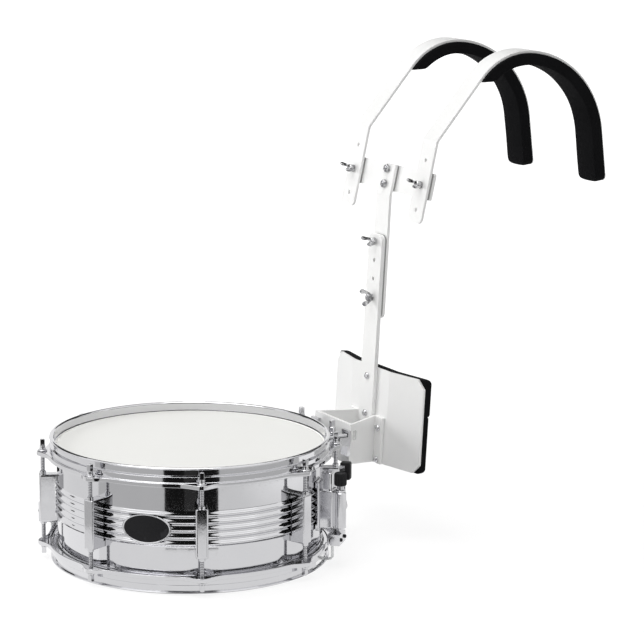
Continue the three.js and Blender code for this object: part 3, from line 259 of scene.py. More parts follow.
def build_foam(graph, finishes):
    grain = graph.noise(0.0022, 5.0, 0.7)
    dust = graph.noise(0.014, 5.0, 0.75).above(0.67, 0.12)
    tint = graph.mix(graph.noise(0.05, 4.0, 0.6), tuple(finishes.foam), (0.007, 0.007, 0.008))
    dusty = graph.mix(dust * 0.3, tint, (0.02, 0.02, 0.022))
    relief = graph.cells(0.0011) * 0.6 + grain
    graph.surface(dusty, 0.78 + grain * 0.18, relief, 0.0004, Specular_IOR_Level=0.07)


FINISHES = {
    "chrome plate": (build_chrome, "chrome"),
    "cast chrome": (build_cast_chrome, "chrome"),
    "chromed thread": (build_thread, "chrome"),
    "zinc plate": (build_zinc, "chrome"),
    "steel wire": (build_wire, "wire"),
    "coated film": (build_coated_film, "batter_film"),
    "clear film": (build_clear_film, "snare_film"),
    "badge enamel": (build_badge, "badge_black"),
    "moulded plastic": (build_moulded, "knob_black"),
    "powder coat": (build_powder_coat, "white_coat"),
    "rubber liner": (build_liner, "liner"),
    "closed foam": (build_foam, "pad_foam"),
}


def finish(name):
    """The material of a finish, made when it is first asked for."""
    made = bpy.data.materials.get(name)
    if made is None:
        made = bpy.data.materials.new(name)
        FINISHES[name][0](Graph(made), bpy.context.scene.snare_finishes)
    return made


# Forms, in millimetres

def arc(x, y, radius, start, sweep, steps):
    """Points on an arc, from a start over a sweep in degrees."""
    turns = (radians(start + sweep * k / steps) for k in range(steps + 1))
    return [(x + radius * cos(turn), y + radius * sin(turn)) for turn in turns]


def circle(x, y, radius, steps):
    return arc(x, y, radius, 0, 360, steps)[:-1]


def rounded(points, radius, steps=3):
    """A closed outline with each corner replaced by an arc, as far as its sides allow."""
    out = []
    for i, here in enumerate(points):
        here, before, after = Vector(here), Vector(points[i - 1]), Vector(points[(i + 1) % len(points)])
        a, b = before - here, after - here
        if min(a.length, b.length) < 1e-6 or a.angle(b) > radians(172):
            out.append(tuple(here))
            continue
        reach = min(radius / tan(a.angle(b) / 2), a.length * 0.45, b.length * 0.45)
        start, end = here + a.normalized() * reach, here + b.normalized() * reach
        for k in range(steps + 1):
            t = k / steps
            out.append(tuple(start * (1 - t) ** 2 + here * 2 * t * (1 - t) + end * t * t))
    return out


def box_outline(left, low, right, high, radius=0, steps=5):
    right, high, left, low = right - radius, high - radius, left + radius, low + radius
    return [point for k, (x, y) in enumerate(((right, high), (left, high), (left, low), (right, low)))
            for point in arc(x, y, radius, 90 * k, 90, steps)]


def loft(rings, place=STILL, loop=False, caps=True):
    """A form of rings of points, each skinned to the next."""
    return [[place @ Vector(point) for point in ring] for ring in rings], loop, caps


def levels(outline, *rows, place=STILL):
    """A form of one outline at several heights, scaled at each, from rows of (scale, height)."""
    return loft([[(x * scale, y * scale, height) for x, y in outline] for scale, height in rows], place)


def revolve(profile, steps, place=STILL):
    """A closed outline of (radius, height) points turned round the Z axis."""
    rings = [[(r * x, r * y, z) for r, z in profile] for x, y in circle(0, 0, 1, steps)]
    return loft(rings, place, loop=True)


def turned(profile, steps, place=STILL):
    """An open outline of (radius, height) points turned into a solid with flat ends."""
    return levels(circle(0, 0, 1, steps), *profile, place=place)


AXES = {
    "X": Matrix(((0, 0, 1, 0), (1, 0, 0, 0), (0, 1, 0, 0), (0, 0, 0, 1))),
    "Y": Matrix(((1, 0, 0, 0), (0, 0, 1, 0), (0, 1, 0, 0), (0, 0, 0, 1))),
    "Z": STILL,
}


def slab(outline, start, end, axis="Z", place=STILL):
    """An outline in two axes carried along the third: X takes (y, z), Y takes (x, z), Z takes (x, y)."""
    return levels(outline, (1, start), (1, end), place=place @ AXES[axis])


def upright(outline, half, place):
    """An outline in X and Z made twice a half thick along Y."""
    return slab(outline, -half, half, "Y", place)


def rod(radius, start, end, centre=(0, 0), steps=20, place=STILL, axis="Z"):
    return slab(circle(*centre, radius, steps), start, end, axis, place)


def block(low, high, radius=0, place=STILL):
    return slab(box_outline(*low[:2], *high[:2], radius), low[2], high[2], "Z", place)


def skin(name, forms):
    """A mesh in metres made of forms in millimetres."""
    mesh = bmesh.new()
    for rings, loop, caps in forms:
        made = [[mesh.verts.new(point / MM_PER_METRE) for point in ring] for ring in rings]
        for low, high in zip(made, made[1:] + made[:1] if loop else made[1:]):
            for i in range(len(low)):
                mesh.faces.new((low[i - 1], low[i], high[i], high[i - 1]))
        if caps and not loop:
            mesh.faces.new(made[0][::-1])
            mesh.faces.new(made[-1])
    bmesh.ops.remove_doubles(mesh, verts=mesh.verts, dist=1e-7)
    bmesh.ops.recalc_face_normals(mesh, faces=mesh.faces)
    data = bpy.data.meshes.new(name)
    mesh.to_mesh(data)
    mesh.free()
    return data


def placed(name, data):
    made = bpy.data.objects.new(name, data)
    bpy.context.scene.collection.objects.link(made)
    return made


def carve(made, tools):
    """Cuts forms out of a piece."""
    tool = placed("tool", skin("tool", tools))
    cutter = made.modifiers.new("cut", "BOOLEAN")
    cutter.operation, cutter.solver, cutter.object = "DIFFERENCE", "EXACT", tool
    seen = made.evaluated_get(bpy.context.evaluated_depsgraph_get())
    made.data = bpy.data.meshes.new_from_object(seen)
    made.modifiers.remove(cutter)
    bpy.data.objects.remove(tool)


def soften(made, bevel, sharp):
    """Smooth faces with sharp edges kept, and a fine round on those edges."""
    made.data.shade_smooth()
    made.data.set_sharp_from_angle(angle=radians(sharp))
    if bevel > 0:
        edge = made.modifiers.new("edge round", "BEVEL")
        edge.width = bevel / MM_PER_METRE
        edge.segments = 2
        edge.limit_method = "ANGLE"
        edge.angle_limit = radians(sharp)
        edge.use_clamp_overlap = True
    made.modifiers.new("even faces", "WEIGHTED_NORMAL").keep_sharp = True


def piece(name, forms, look="cast chrome", body="drum", bevel=0, sharp=38, stands_for=(), cut=()):
    """Turns forms into a finished piece that rides on a body."""
    made = placed(name, skin(name, forms))
    if cut:
        carve(made, cut)
    made.data.materials.append(finish(look))
    soften(made, bevel, sharp)
    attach(made, body)
    if stands_for:
        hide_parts(*stands_for)
    return made


def dress(look, bevel, *nodes):
    """CAD solids that are shown, with a finish and softened edges."""
    for node in nodes:
        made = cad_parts[node]
        made.data.materials.clear()
        made.data.materials.append(finish(look))
        soften(made, bevel, 38)


# Sizes and colours that a user would change

def length(name, text, value, low=0.0):
    return FloatProperty(name=name, description=text, default=value, min=low, unit="LENGTH", precision=5)


def colour(name, text, value):
    return FloatVectorProperty(name=name, description=text, default=value, size=3, min=0, max=1,
                               subtype="COLOR")


class SnareFinishes(bpy.types.PropertyGroup):
    chrome: colour("Chrome", "Colour of the chrome plate", (0.70, 0.70, 0.715))
    zinc: colour("Zinc", "Colour of the wing screws and bolts", (0.62, 0.62, 0.63))
    coated_film: colour("Coated film", "Colour of the upper head", (0.93, 0.93, 0.905))
    badge: colour("Badge", "Colour of the oval badge", (0.010, 0.010, 0.012))
    black_plastic: colour("Black plastic", "Colour of the knob and grip", (0.011, 0.011, 0.012))
    powder_coat: colour("Powder coat", "Colour of the carrier's bars and plates", (0.94, 0.94, 0.935))
    # The liners' grey is partly painted shade between the overlapping plates
    liner: colour("Liner", "Colour of the thin liners", (0.26, 0.26, 0.26))
    foam: colour("Foam", "Colour of the pads", (0.0026, 0.0026, 0.003))


class SnareDrumSizes(bpy.types.PropertyGroup):
    shell_radius: length("Shell radius", "Outside radius of the shell", 0.177)
    shell_wall: length("Shell wall", "Thickness of the shell's metal", 0.0016)
    bead_rise: length("Bead rise", "How far the beads stand out", 0.0024)
    bead_pitch: length("Bead pitch", "Height from bead to bead", 0.0096)
    bead_count: IntProperty(name="Beads", description="Beads round the shell", default=5, min=0)
    rim_height: length("Rim height", "From the rim to the shell's edge", 0.013)
    hoop_wall: length("Hoop wall", "Thickness of the hoop's metal", 0.0019)
    flange_depth: length("Flange depth", "From the rim to the flange", 0.0195)
    lip_depth: length("Lip depth", "From the rim to the flange's lip", 0.025)
    ear_reach: length("Ear reach", "How far an ear stands out from the flange", 0.0126)
    lug_width: length("Lug width", "Width of a lug", 0.016)
    lug_height: length("Lug height", "Height of a lug", 0.065)
    rod_radius: length("Rod radius", "Radius of a tension rod", 0.00275)
    badge_width: length("Badge width", "Width of the badge", 0.066)
    badge_height: length("Badge height", "Height of the badge", 0.0385)


class SnareGearSizes(bpy.types.PropertyGroup):
    reach: length("Reach", "From the shell to the strainer's tube", 0.0305)
    tube_radius: length("Tube radius", "Radius of the strainer's tube", 0.0078)
    tube_bottom: length("Tube bottom", "Height of the tube's lower end", 0.052)
    tube_top: length("Tube top", "Height of the tube's upper end", 0.101)
    knob_radius: length("Knob radius", "Radius of the tension knob", 0.0083)
    knob_height: length("Knob height", "Height of the tension knob", 0.017)
    clamp_width: length("Clamp width", "Width of the clamp on the slide", 0.030)
    strands: IntProperty(name="Strands", description="Strands of the snare wires", default=20, min=1)
    strand_pitch: length("Strand pitch", "From strand to strand", 0.0023)


class CarrierSizes(bpy.types.PropertyGroup):
    bar_width: length("Bar width", "Width of the flat bars", 0.035)
    bar_thickness: length("Bar thickness", "Thickness of the straps' flat bar", 0.004)
    bar_round: length("Bar edge round", "Radius on the bars' edges", 0.0006)
    strap_spacing: length("Strap spacing", "From one shoulder strap to the other", 0.177)
    pad_width: length("Pad width", "Width of a shoulder pad", 0.044)
    pad_thickness: length("Pad thickness", "Thickness of a shoulder pad", 0.017)
    belly_thickness: length("Belly pad thickness", "Thickness of the belly pad", 0.0145)
    wing_span: length("Wing span", "Span of a wing screw", 0.025)


class StageSizes(bpy.types.PropertyGroup):
    key_power: FloatProperty(name="Overhead light", description="Power of the softbox above the drum",
                             default=44.5, min=0, unit="POWER")
    side_power: FloatProperty(name="Side light", description="Power of the plain light on the left",
                              default=55.0, min=0, unit="POWER")
    fill_power: FloatProperty(name="Fill light", description="Power of the plain light in front",
                              default=10.0, min=0, unit="POWER")
    lens: FloatProperty(name="Lens", description="Focal length of the camera in millimetres",
                        default=147.188, min=1)


def lengths(group):
    """A group's lengths in millimetres, and its counts as they are."""
    found = {name: getattr(group, name) for name in type(group).__annotations__}
    return SimpleNamespace(**{name: value if isinstance(value, int) else value * MM_PER_METRE
                              for name, value in found.items()})


# Drum

def bead_reach(sizes):
    """From the drum's middle to the end of the beads, with a gap."""
    return sizes.bead_count * sizes.bead_pitch / 2 + BEAD_GAP


def shell_profile(sizes):
    """The shell's wall as a closed outline, from the outer top edge down and back up inside."""
    r, wall, pitch = sizes.shell_radius, sizes.shell_wall, sizes.bead_pitch
    low, high = sizes.rim_height, DRUM_HEIGHT - sizes.rim_height
    first, last = MIDDLE + sizes.bead_count * pitch / 2, MIDDLE - sizes.bead_count * pitch / 2
    steps = 14
    bead = [(sizes.bead_rise * sin(pi * i / steps) ** 2, i * pitch / steps)
            for i in range(sizes.bead_count * steps + 1)]
    outer = [(r - 1.6, high), (r, high - 1.8), (r, first + 1)]
    outer += [(r + rise, first - run) for rise, run in bead]
    outer += [(r, last - 1), (r, low + 1.8), (r - 1.6, low)]
    fold = [(r - 8, low + 4.6), (r - 8, low + 6.2), (r - 3.2, low + 3.4), (r - wall, low + 4.6)]
    inner = [(r - wall + rise, last + run) for rise, run in bead]
    return outer + fold + inner + [(radius, DRUM_HEIGHT - height) for radius, height in reversed(fold)]


def make_shell(context):
    sizes = lengths(context.scene.snare_drum)
    r, level = sizes.shell_radius, 126
    vent = rod(5, r - 4, r + 4, (0, level), 32, around(VENT_ANGLE), "X")
    piece("beaded_shell", [revolve(shell_profile(sizes), 288, around(0))], "chrome plate",
          stands_for=("shell",), cut=[vent])
    ring = [(4.9, -2.2), (4.9, 1.0), (5.6, 1.5), (7.4, 1.1), (7.8, 0.1), (5.0, 0.05), (5.0, -1.8),
            (7.0, -1.9), (7.0, -2.4)]
    piece("vent_eyelet", [revolve(ring, 32, at(around(VENT_ANGLE), r + 0.2, 0, level, "Y", 90))])


def make_badge(context):
    """A bare oval plate bent to the beads, with a raised rim."""
    sizes = lengths(context.scene.snare_drum)
    inner = sizes.shell_radius + sizes.bead_rise + SEAT_GAP
    rings = []
    for share, height in ((1.0, 0.0), (1.0, 0.9), (0.985, 1.25), (0.955, 1.25), (0.94, 1.0), (0.92, 0.9),
                          (0.5, 0.9), (0.06, 0.9)):
        reach, wide, tall = inner + height, sizes.badge_width / 2 / inner, sizes.badge_height / 2
        rings.append([(reach * cos(x * wide), reach * sin(x * wide), MIDDLE + y * tall)
                      for x, y in circle(0, 0, share, 96)])
    piece("badge_rim", [loft(rings[:6], around(BADGE_ANGLE), caps=False)])
    piece("badge_plate", [loft(rings[5:], around(BADGE_ANGLE))], "badge enamel", stands_for=("badge",))


def make_heads(context):
    sizes = lengths(context.scene.snare_drum)
    r, film, ring = sizes.shell_radius, sizes.rim_height - 0.8, 2.2
    profile = [(r + out, depth) for out, depth in (
        (-r, 0), (-3, 0), (-1.4, 0.1), (0.2, 0.6), (1.2, 1.6), (1.7, 0.5), (ring, 0), (5.9, 0), (6.5, 0.6),
        (6.5, 7.6), (5.9, 8.2), (2, 8.2), (1.7, 7.6), (1.2, 3.5), (0, 1.4), (-1.6, 0.5), (-r, 0.5))]
    for name, node, look, seat, up in (
            ("upper_head_film", "batter_head", "coated film", DRUM_HEIGHT - film, -1),
            ("lower_head_film", "snare_head", "clear film", film, 1)):
        outline = [(radius, seat + up * depth) for radius, depth in profile]
        made = piece(name, [revolve(outline, 288, around(0))], look, stands_for=(node,))
        made.data.materials.append(finish("cast chrome"))
        for face in made.data.polygons:
            x, y, _ = face.center * MM_PER_METRE
            face.material_index = int(hypot(x, y - AXIS_Y) > r + ring)


def turn_between(angle, centre):
    """The turn from a centre to an angle, from -180 to 180 degrees."""
    return ((angle - centre) % 360 + 540) % 360 - 180


def swell(angle, centre, spread):
    return exp(-(turn_between(angle, centre) / spread) ** 2)


def hoop_profile(sizes, angle, lift):
    wall = sizes.hoop_wall
    lower_inner = sizes.shell_radius + 7.4
    lower_outer, upper_inner = lower_inner + wall, lower_inner - 3.7
    upper_outer = upper_inner + wall
    near = min(LUG_ANGLES, key=lambda lug: abs(turn_between(angle, lug)))
    outer = lower_outer + 4.2 + sizes.ear_reach * swell(angle, near, 4.6)
    flange, lip, step = sizes.flange_depth + lift, sizes.lip_depth + lift, sizes.rim_height - 1.1
    reach, roll_depth = 2.9, 2.2
    centre = upper_inner + reach
    roll = [(centre + reach * x, roll_depth * (1 - y)) for x, y in arc(0, 0, 1, 15, 165, 11)]
    return rounded(roll + [
        (upper_inner, step), (lower_inner, step), (lower_inner, flange + wall),
        (outer - wall, flange + wall), (outer - wall, lip), (outer, lip), (outer, flange),
        (lower_outer, flange), (lower_outer, step + 0.3), (upper_outer, step - 0.9), (upper_outer, 3.2),
        (centre + reach * 0.8, 2.7)], 0.8)


def make_hoops(context):
    sizes = lengths(context.scene.snare_drum)
    r, stations = sizes.shell_radius, 480
    gate_half, gate_low, gate_corner = 22, 3, 3
    for name, node, rim, up, gates in (
            ("upper_hoop_pressing", "batter_hoop", DRUM_HEIGHT, -1, ()),
            ("lower_hoop_pressing", "snare_hoop", 0, 1, (STRAINER_ANGLE, BUTT_ANGLE))):
        rings = []
        for i in range(stations):
            angle = i * 360 / stations
            lift = 7 * sum(swell(angle, gate, 9) for gate in gates)
            x, y = sin(radians(angle)), -cos(radians(angle))
            section = hoop_profile(sizes, angle, lift)
            rings.append([(out * x, out * y, rim + up * depth) for out, depth in section])
        level = rim + up * sizes.flange_depth
        tools = [rod(sizes.rod_radius + 0.5, level - 4, level + 4, (r + ROD_REACH, 0), 20, around(lug))
                 for lug in LUG_ANGLES]
        gap = box_outline(-gate_half, gate_low, gate_half, sizes.flange_depth, gate_corner)
        tools += [slab(gap, r - 3, r + 11.3, "X", around(gate)) for gate in gates]
        pressing = loft(rings, at(STILL, y=AXIS_Y), loop=True)
        piece(name, [pressing], "chrome plate", stands_for=(node,), cut=tools)


def make_lugs(context):
    sizes = lengths(context.scene.snare_drum)
    r, half, tall, corner = sizes.shell_radius, sizes.lug_width / 2, sizes.lug_height / 2, 2.4
    beads = bead_reach(sizes)
    ends = ((0, 1.1), (0.4, 0.4), (1.2, 0.05), (3, 0))
    rows = [(up - tall, inset) for up, inset in ends] + [(tall - up, inset) for up, inset in ends[::-1]]
    rings = []
    for level, inset in rows:
        front, width = r + 23.3 - inset - corner, half - inset
        outline = [(r + SEAT_GAP, -width), *arc(front, corner - width, corner, -90, 90, 8),
                   *arc(front, width - corner, corner, 0, 90, 8), (r + SEAT_GAP, width)]
        rings.append([(x, y, level) for x, y in outline])
    receiver = [(3.2, -6), (4.3, -6), (4.3, 2.8), (4.0, 3.4), (3.6, 3.5), (3.2, 3.2)]
    for i, angle in enumerate(LUG_ANGLES, 1):
        place = at(around(angle), z=MIDDLE)
        bores = [rod(3.2, sign * (tall - 20), sign * (tall + 2), (r + ROD_REACH, 0), 24, place)
                 for sign in (-1, 1)]
        relief = block((r - 2, -sizes.lug_width, -beads),
                       (r + sizes.bead_rise + BEAD_GAP, sizes.lug_width, beads), 0, place)
        piece(f"lug_casting_{i}", [loft(rings, place)], stands_for=(f"lug_{i}",), cut=[*bores, relief])
        mouths = [at(place, r + ROD_REACH, 0, sign * tall, turn=END_TURNS[sign]) for sign in (-1, 1)]
        piece(f"lug_receiver_{i}", [revolve(receiver, 28, mouth) for mouth in mouths])


def square_key(place, *heights):
    """A square key end with eased edges, over four heights."""
    return levels(box_outline(-3, -3, 3, 3, 0.5, 3), *zip((0.9, 1, 1, 0.82), heights), place=place)


def make_rods(context):
    sizes = lengths(context.scene.snare_drum)
    stem, seat = sizes.rod_radius, MIDDLE - sizes.flange_depth + 0.3
    low = sizes.lug_height / 2 - seat - 13.5
    for kind, sign, head in (("batter", 1, 7), ("snare", -1, 4)):
        for i, angle in enumerate(LUG_ANGLES, 1):
            place = at(around(angle), sizes.shell_radius + ROD_REACH, 0, MIDDLE + sign * seat,
                       turn=END_TURNS[sign])
            washer = revolve([(0, -0.5), (6.0, 0), (6.2, 0.3), (6.2, 1.1), (5.8, 1.5), (0, 1.5)], 28, place)
            collar = turned([(4.4, 1.5), (4.4, 2.6), (3.7, 3.4), (3.5, head - 0.8), (3.8, head)], 24, place)
            key = square_key(place, head - 0.2, head + 0.2, head + 7.7, head + 8.5)
            name = f"{kind}_rod_{i}"
            piece(f"{kind}_rod_head_{i}", [washer, collar, key], body=name, stands_for=(name,))
            thread = turned([(stem * 0.8, low), (stem, low + 0.7), (stem, 0.5)], 20, place)
            piece(f"{kind}_rod_stem_{i}", [thread], "chromed thread", name)


# Strainer, butt and snare wires

def gear_sizes(context):
    """The drum's and the gear's sizes, the shell's radius and the strainer's axis."""
    sizes, gear = lengths(context.scene.snare_drum), lengths(context.scene.snare_gear)
    return sizes, gear, sizes.shell_radius, sizes.shell_radius + gear.reach


def make_strainer(context):
    sizes, gear, r, axis = gear_sizes(context)
    place = around(STRAINER_ANGLE)
    bottom, top, tube = gear.tube_bottom, gear.tube_top, gear.tube_radius
    foot, gap, thickness = r + SEAT_GAP, r + sizes.bead_rise + BEAD_GAP, 3
    front = gap + thickness
    beads = bead_reach(sizes)
    outline = [(foot, MIDDLE - 33), (front, MIDDLE - 33), (front, MIDDLE + 33), (foot, MIDDLE + 33),
               (foot, MIDDLE + beads), (gap, MIDDLE + beads), (gap, MIDDLE - beads), (foot, MIDDLE - beads)]
    piece("strainer_plate", [upright(outline, 16, place)], bevel=1.2, stands_for=("strainer_body",))
    neck = [(front - 0.8, bottom), (axis - 7.5, bottom + 2.5), (axis - 7.5, bottom + 52),
            (front - 0.8, bottom + 52)]
    piece("strainer_neck", [upright(neck, 13, place)], bevel=1.6)
    rib = [(axis - 8.5, bottom + 0.4), (axis, bottom + 0.4), (axis, top - 0.4), (axis - 8.5, top - 0.4)]
    bore = rod(5.5, 40, 120, (axis, 0), 32, place)
    piece("strainer_rib", [upright(rib, 5.8, place)], bevel=0.3, cut=[bore])
    post = block((front - 0.8, -7, top - 10), (front + 14, 7, top + 26), 3, place)
    piece("strainer_throw_post", [post], bevel=1.4)
    wall = [(5.5, bottom), (tube - 0.9, bottom), (tube, bottom + 0.9), (tube, top - 0.9),
            (tube - 0.9, top), (5.5, top)]
    piece("strainer_tube", [revolve(wall, 48, at(place, axis))])
    boss = [(2.4, tube - 1.5), (6.7, tube - 1.5), (6.7, 7.7), (6.2, 8.2), (2.4, 8.2)]
    piece("strainer_boss", [revolve(boss, 32, at(place, axis, 0, 80, turn=-90))])
    thin, wide = 0.35, 1.5
    cross = [(wide, thin), (thin, thin), (thin, wide)]
    cross += [(-x, y) for x, y in cross[::-1]]
    cross += [(x, -y) for x, y in cross[::-1]]
    for i, level in enumerate((MIDDLE - 28.5, MIDDLE + 28.5), 1):
        seat = at(place, front, 11.5, level, "Y", 90)
        dome = [(2.6, -0.4), (2.6, 0.5), (2.236, 1.0), (1.43, 1.35), (0.52, 1.45)]
        piece(f"strainer_plate_screw_{i}", [turned(dome, 24, seat)], cut=[slab(cross, 0.7, 3, "Z", seat)])


def make_clamp(name, place, half, top, axis, body, stands_for=()):
    """The block that grips the tape, open below, with its two screws."""
    back, front, bottom = axis - 13.5, axis + 3.5, 31
    left, right, roof = back + 2.4, back + 3.8, top - 4.8
    outline = rounded([(back, bottom), (left, bottom), (left, roof), (right, roof), (right, bottom),
                       (front, bottom), (front, top), (back, top)], 0.5, 2)
    piece(name, [upright(outline, half, place)], body=body, bevel=1, sharp=50, stands_for=stands_for)
    socket = [(2.4, -0.5), (2.4, 1.6), (2.0, 2.2), (1.3, 2.2), (1.2, 0.9), (0.2, 0.7)]
    for i, side in enumerate((-1, 1), 1):
        seat = at(place, front, side * 9.5, (top + bottom) / 2, "Y", 90)
        piece(f"{name}_screw_{i}", [turned(socket, 24, seat)], "moulded plastic", body)


def make_slide(context):
    sizes, gear, r, axis = gear_sizes(context)
    place = around(STRAINER_ANGLE)
    body = "strainer_slide"
    make_clamp("strainer_clamp", place, gear.clamp_width / 2, 46, axis, body, (body,))
    slide = [(3.4, 86), (3.4, 92), (4.5, 92), (4.9, 91.6), (4.9, 45), (0, 45), (0, 86)]
    piece("strainer_slide_rod", [revolve(slide, 32, at(place, axis))], body=body)
    place = around(BUTT_ANGLE)
    top = MIDDLE - bead_reach(sizes)
    make_clamp("butt_clamp", place, 16, top, axis, "drum")
    piece("butt_foot", [block((r + SEAT_GAP, -16, top - 25), (r + 3.3, 16, top), 1, place)], bevel=0.9,
          stands_for=("butt_plate",))
    piece("butt_neck", [block((r + 3, -13, top - 12), (axis - 13.2, 13, top), 2, place)], bevel=1)


def make_knob(context):
    """A knurled knob with finger flutes, a chamfered rim and a dished top."""
    _, gear, _, axis = gear_sizes(context)
    place = at(around(STRAINER_ANGLE), axis, 0, gear.tube_top)
    base, flutes = 9, 24
    top = base + gear.knob_height
    rings = []
    for share, level, depth in (
            (0.30, base + 0.6, 0), (0.80, base, 0), (0.91, base + 0.3, 0.3), (1.0, base + 1.7, 1),
            (1.0, top - 2.4, 1), (0.955, top - 1.0, 0.7), (0.88, top - 0.2, 0.3), (0.80, top, 0),
            (0.66, top - 0.1, 0), (0.58, top - 0.8, 0), (0.2, top - 1.0, 0)):
        ring = []
        for i in range(192):
            turn = 2 * pi * i / 192
            reach = gear.knob_radius * share - 0.8 * depth * (0.5 - 0.5 * cos(flutes * turn)) ** 0.6
            ring.append((reach * cos(turn), reach * sin(turn), level))
        rings.append(ring)
    body = "strainer_knob"
    piece("tension_knob", [loft(rings, place)], "moulded plastic", body, stands_for=(body,))
    stem = turned([(2.6, -14.7), (3, -14.2), (3, base + 1)], 24, place)
    piece("tension_knob_stem", [stem], "chromed thread", body)
    collar = [(3.1, 0.35), (6.4, 0.35), (6.7, 0.8), (6.7, 2.6), (6.2, 3.2), (4.6, 3.6), (4.4, 8.7),
              (3.1, 8.7)]
    piece("tension_knob_collar", [revolve(collar, 32, place)], body=body)


def make_lever(context):
    """A flat arm on a pin, with a moulded grip over its top end."""
    axis = gear_sizes(context)[3]
    place, body = at(around(STRAINER_ANGLE), axis, 0, 80), "strainer_lever"
    shank = [(6.2, 5), (4.25, 11), (4.25, 55)]
    arm = arc(0, 0, 7, 180, 180, 16) + shank + [(-x, z) for x, z in shank[::-1]]
    piece("throw_arm", [slab(arm, 8.6, 11.6, "Y", place)], body=body, bevel=0.6, stands_for=(body,))
    piece("throw_pin", [turned([(2, 6.1), (2, 9)], 20, at(place, turn=-90))], body=body)
    x_mid, z_mid = 3.5, 47
    rings = []
    for level, inset in ((8.62, 1.2), (9.0, 0.5), (9.9, 0.1), (11.1, 0), (16.4, 0), (17.5, 0.2),
                         (18.2, 0.7), (18.55, 1.7)):
        rings.append([(x + (x_mid - x) * inset / 7, level, z + (z_mid - z) * inset / 12)
                      for x, z in box_outline(-3.5, 35, 10.5, 59, 2.6, 8)])
    piece("throw_grip", [loft(rings, place)], "moulded plastic", body, sharp=60)


def make_snare_wires(context):
    """Coiled strands soldered to a plate at each end, held by a tape on each side."""
    sizes, gear, r, axis = gear_sizes(context)
    place, body = around(STRAINER_ANGLE), "snare_wires"
    top, half, radius = sizes.rim_height - 1.1, r - 18, 0.58
    steps = 480
    strands = []
    for i in range(gear.strands):
        across = (i - (gear.strands - 1) / 2) * gear.strand_pitch
        rings = []
        for k in range(steps + 1):
            x, swing = 2 * half * k / steps - half, 2 * pi * k / 3
            y, z = across + 0.12 * cos(swing), top - radius - 0.06 + 0.06 * sin(swing)
            rings.append([(x, *point) for point in arc(y, z, radius * 0.8, 30, 300, 5)])
        strands.append(loft(rings, place))
    piece("snare_strands", strands, "steel wire", body, stands_for=(body,))
    width = (gear.strands - 1) * gear.strand_pitch + 2.4
    turn, dip = axis - 10.8, top - 2.8
    for name, sign in (("strainer", 1), ("butt", -1)):
        start, end = sorted((sign * (half - 0.9), sign * (half + 13)))
        plate = block((start, -width / 2, top - 1.5), (end, width / 2, top - 0.3), 1.5, place)
        piece(f"{name}_end_plate", [plate], "steel wire", body, 0.3)
        line = [(half + 11.4, top - 1.2), (r + 3.7, dip), (r + 15.5, dip), (turn, dip + 1.6), (turn, 37),
                (turn + 0.8, 37), (turn + 0.8, dip + 0.8), (r + 15.5, dip - 0.8), (r + 3.7, dip - 0.8),
                (half + 11.4, top - 2)]
        tape = upright([(sign * x, z) for x, z in line], 6, place)
        piece(f"{name}_tape", [tape], "clear film", body, 0.15)


# Carrier

def make_claw_screws(context):
    sizes = lengths(context.scene.snare_drum)
    seat = DRUM_HEIGHT - sizes.flange_depth + 4.6
    low = DRUM_HEIGHT - sizes.lip_depth - 11 - seat
    across, circle_radius = 42.5, sizes.shell_radius + ROD_REACH + sizes.rod_radius
    y = sqrt(circle_radius ** 2 - across ** 2) + AXIS_Y
    for name, sign in SIDES:
        place, body = at(STILL, sign * across, y, seat), f"claw_screw_{name}"
        washer = revolve([(0, -0.3), (6.0, 0), (6.2, 0.3), (6.2, 1.2), (5.8, 1.5), (0, 1.5)], 32, place)
        collar = [(4.6, 1.4), (4.6, 3.2), (4.2, 3.7), (4.2, 8.4), (4.5, 8.9), (4.5, 10), (4.0, 10.5)]
        forms = [washer, turned(collar, 32, place), square_key(place, 10.3, 10.7, 19.3, 20)]
        piece(f"claw_screw_head_{name}", forms, body=body, stands_for=(body,))
        thread = turned([(2.2, low), (2.75, low + 0.7), (2.75, 0.5)], 24, place)
        piece(f"claw_screw_stem_{name}", [thread], "chromed thread", body)


def make_wing_screw(name, place, grip, span, turn=20):
    """A cast wing screw: a coned boss, two round wings, its thread and a flat head behind."""
    place = at(place, axis="Y", turn=turn)
    back = at(place, turn=-90)
    half = span / 2
    boss = [(4.2, -8.2), (4.8, -7.6), (5, -2.4), (5, -0.6), (4.7, -0.3)]
    piece(f"{name}_boss", [turned(boss, 32, back)], "zinc plate", name, stands_for=(name,))
    wing = [(3.5, -1.5), (5.6, -1.7), *arc(half - 3.4, -13.9, 3.4, 20, -200, 12), (5.8, -8.6), (4.2, -7.4),
            (3.5, -7.2)]
    for side, sign in SIDES:
        centre = Vector((half * 0.62, -9))
        rings = []
        for level, inset in ((-1.5, 0.10), (-1.2, 0.03), (-0.6, 0), (0.6, 0), (1.2, 0.03), (1.5, 0.10)):
            points = [Vector(point).lerp(centre, inset) for point in wing]
            rings.append([(sign * x, y, level) for x, y in points])
        piece(f"{name}_wing_{side}", [loft(rings, place)], "zinc plate", name, sharp=50)
    piece(f"{name}_thread", [turned([(2.6, -0.6), (2.6, grip + 0.5)], 24, back)], "chromed thread", name)
    head = [(6, grip + 0.3), (6, grip + 1.7), (5.3, grip + 2.4), (3, grip + 2.7)]
    piece(f"{name}_head", [turned(head, 32, back)], "zinc plate", name)


def strap_seat(carrier, sign):
    """A strap's place on the cross plate."""
    return at(TOP, sign * carrier.strap_spacing / 2, 0, 25)


def make_wing_screws(context):
    carrier = lengths(context.scene.snare_carrier)
    for i, (level, turn) in enumerate(((255.9, 20), (178.2, 62)), 1):
        make_wing_screw(f"upright_wing_screw_{i}", at(SPINE, 0, -5.8, level), 11.7, carrier.wing_span, turn)
    for side, sign in SIDES:
        make_wing_screw(f"strap_wing_screw_{side}", strap_seat(carrier, sign), 10.2, carrier.wing_span)


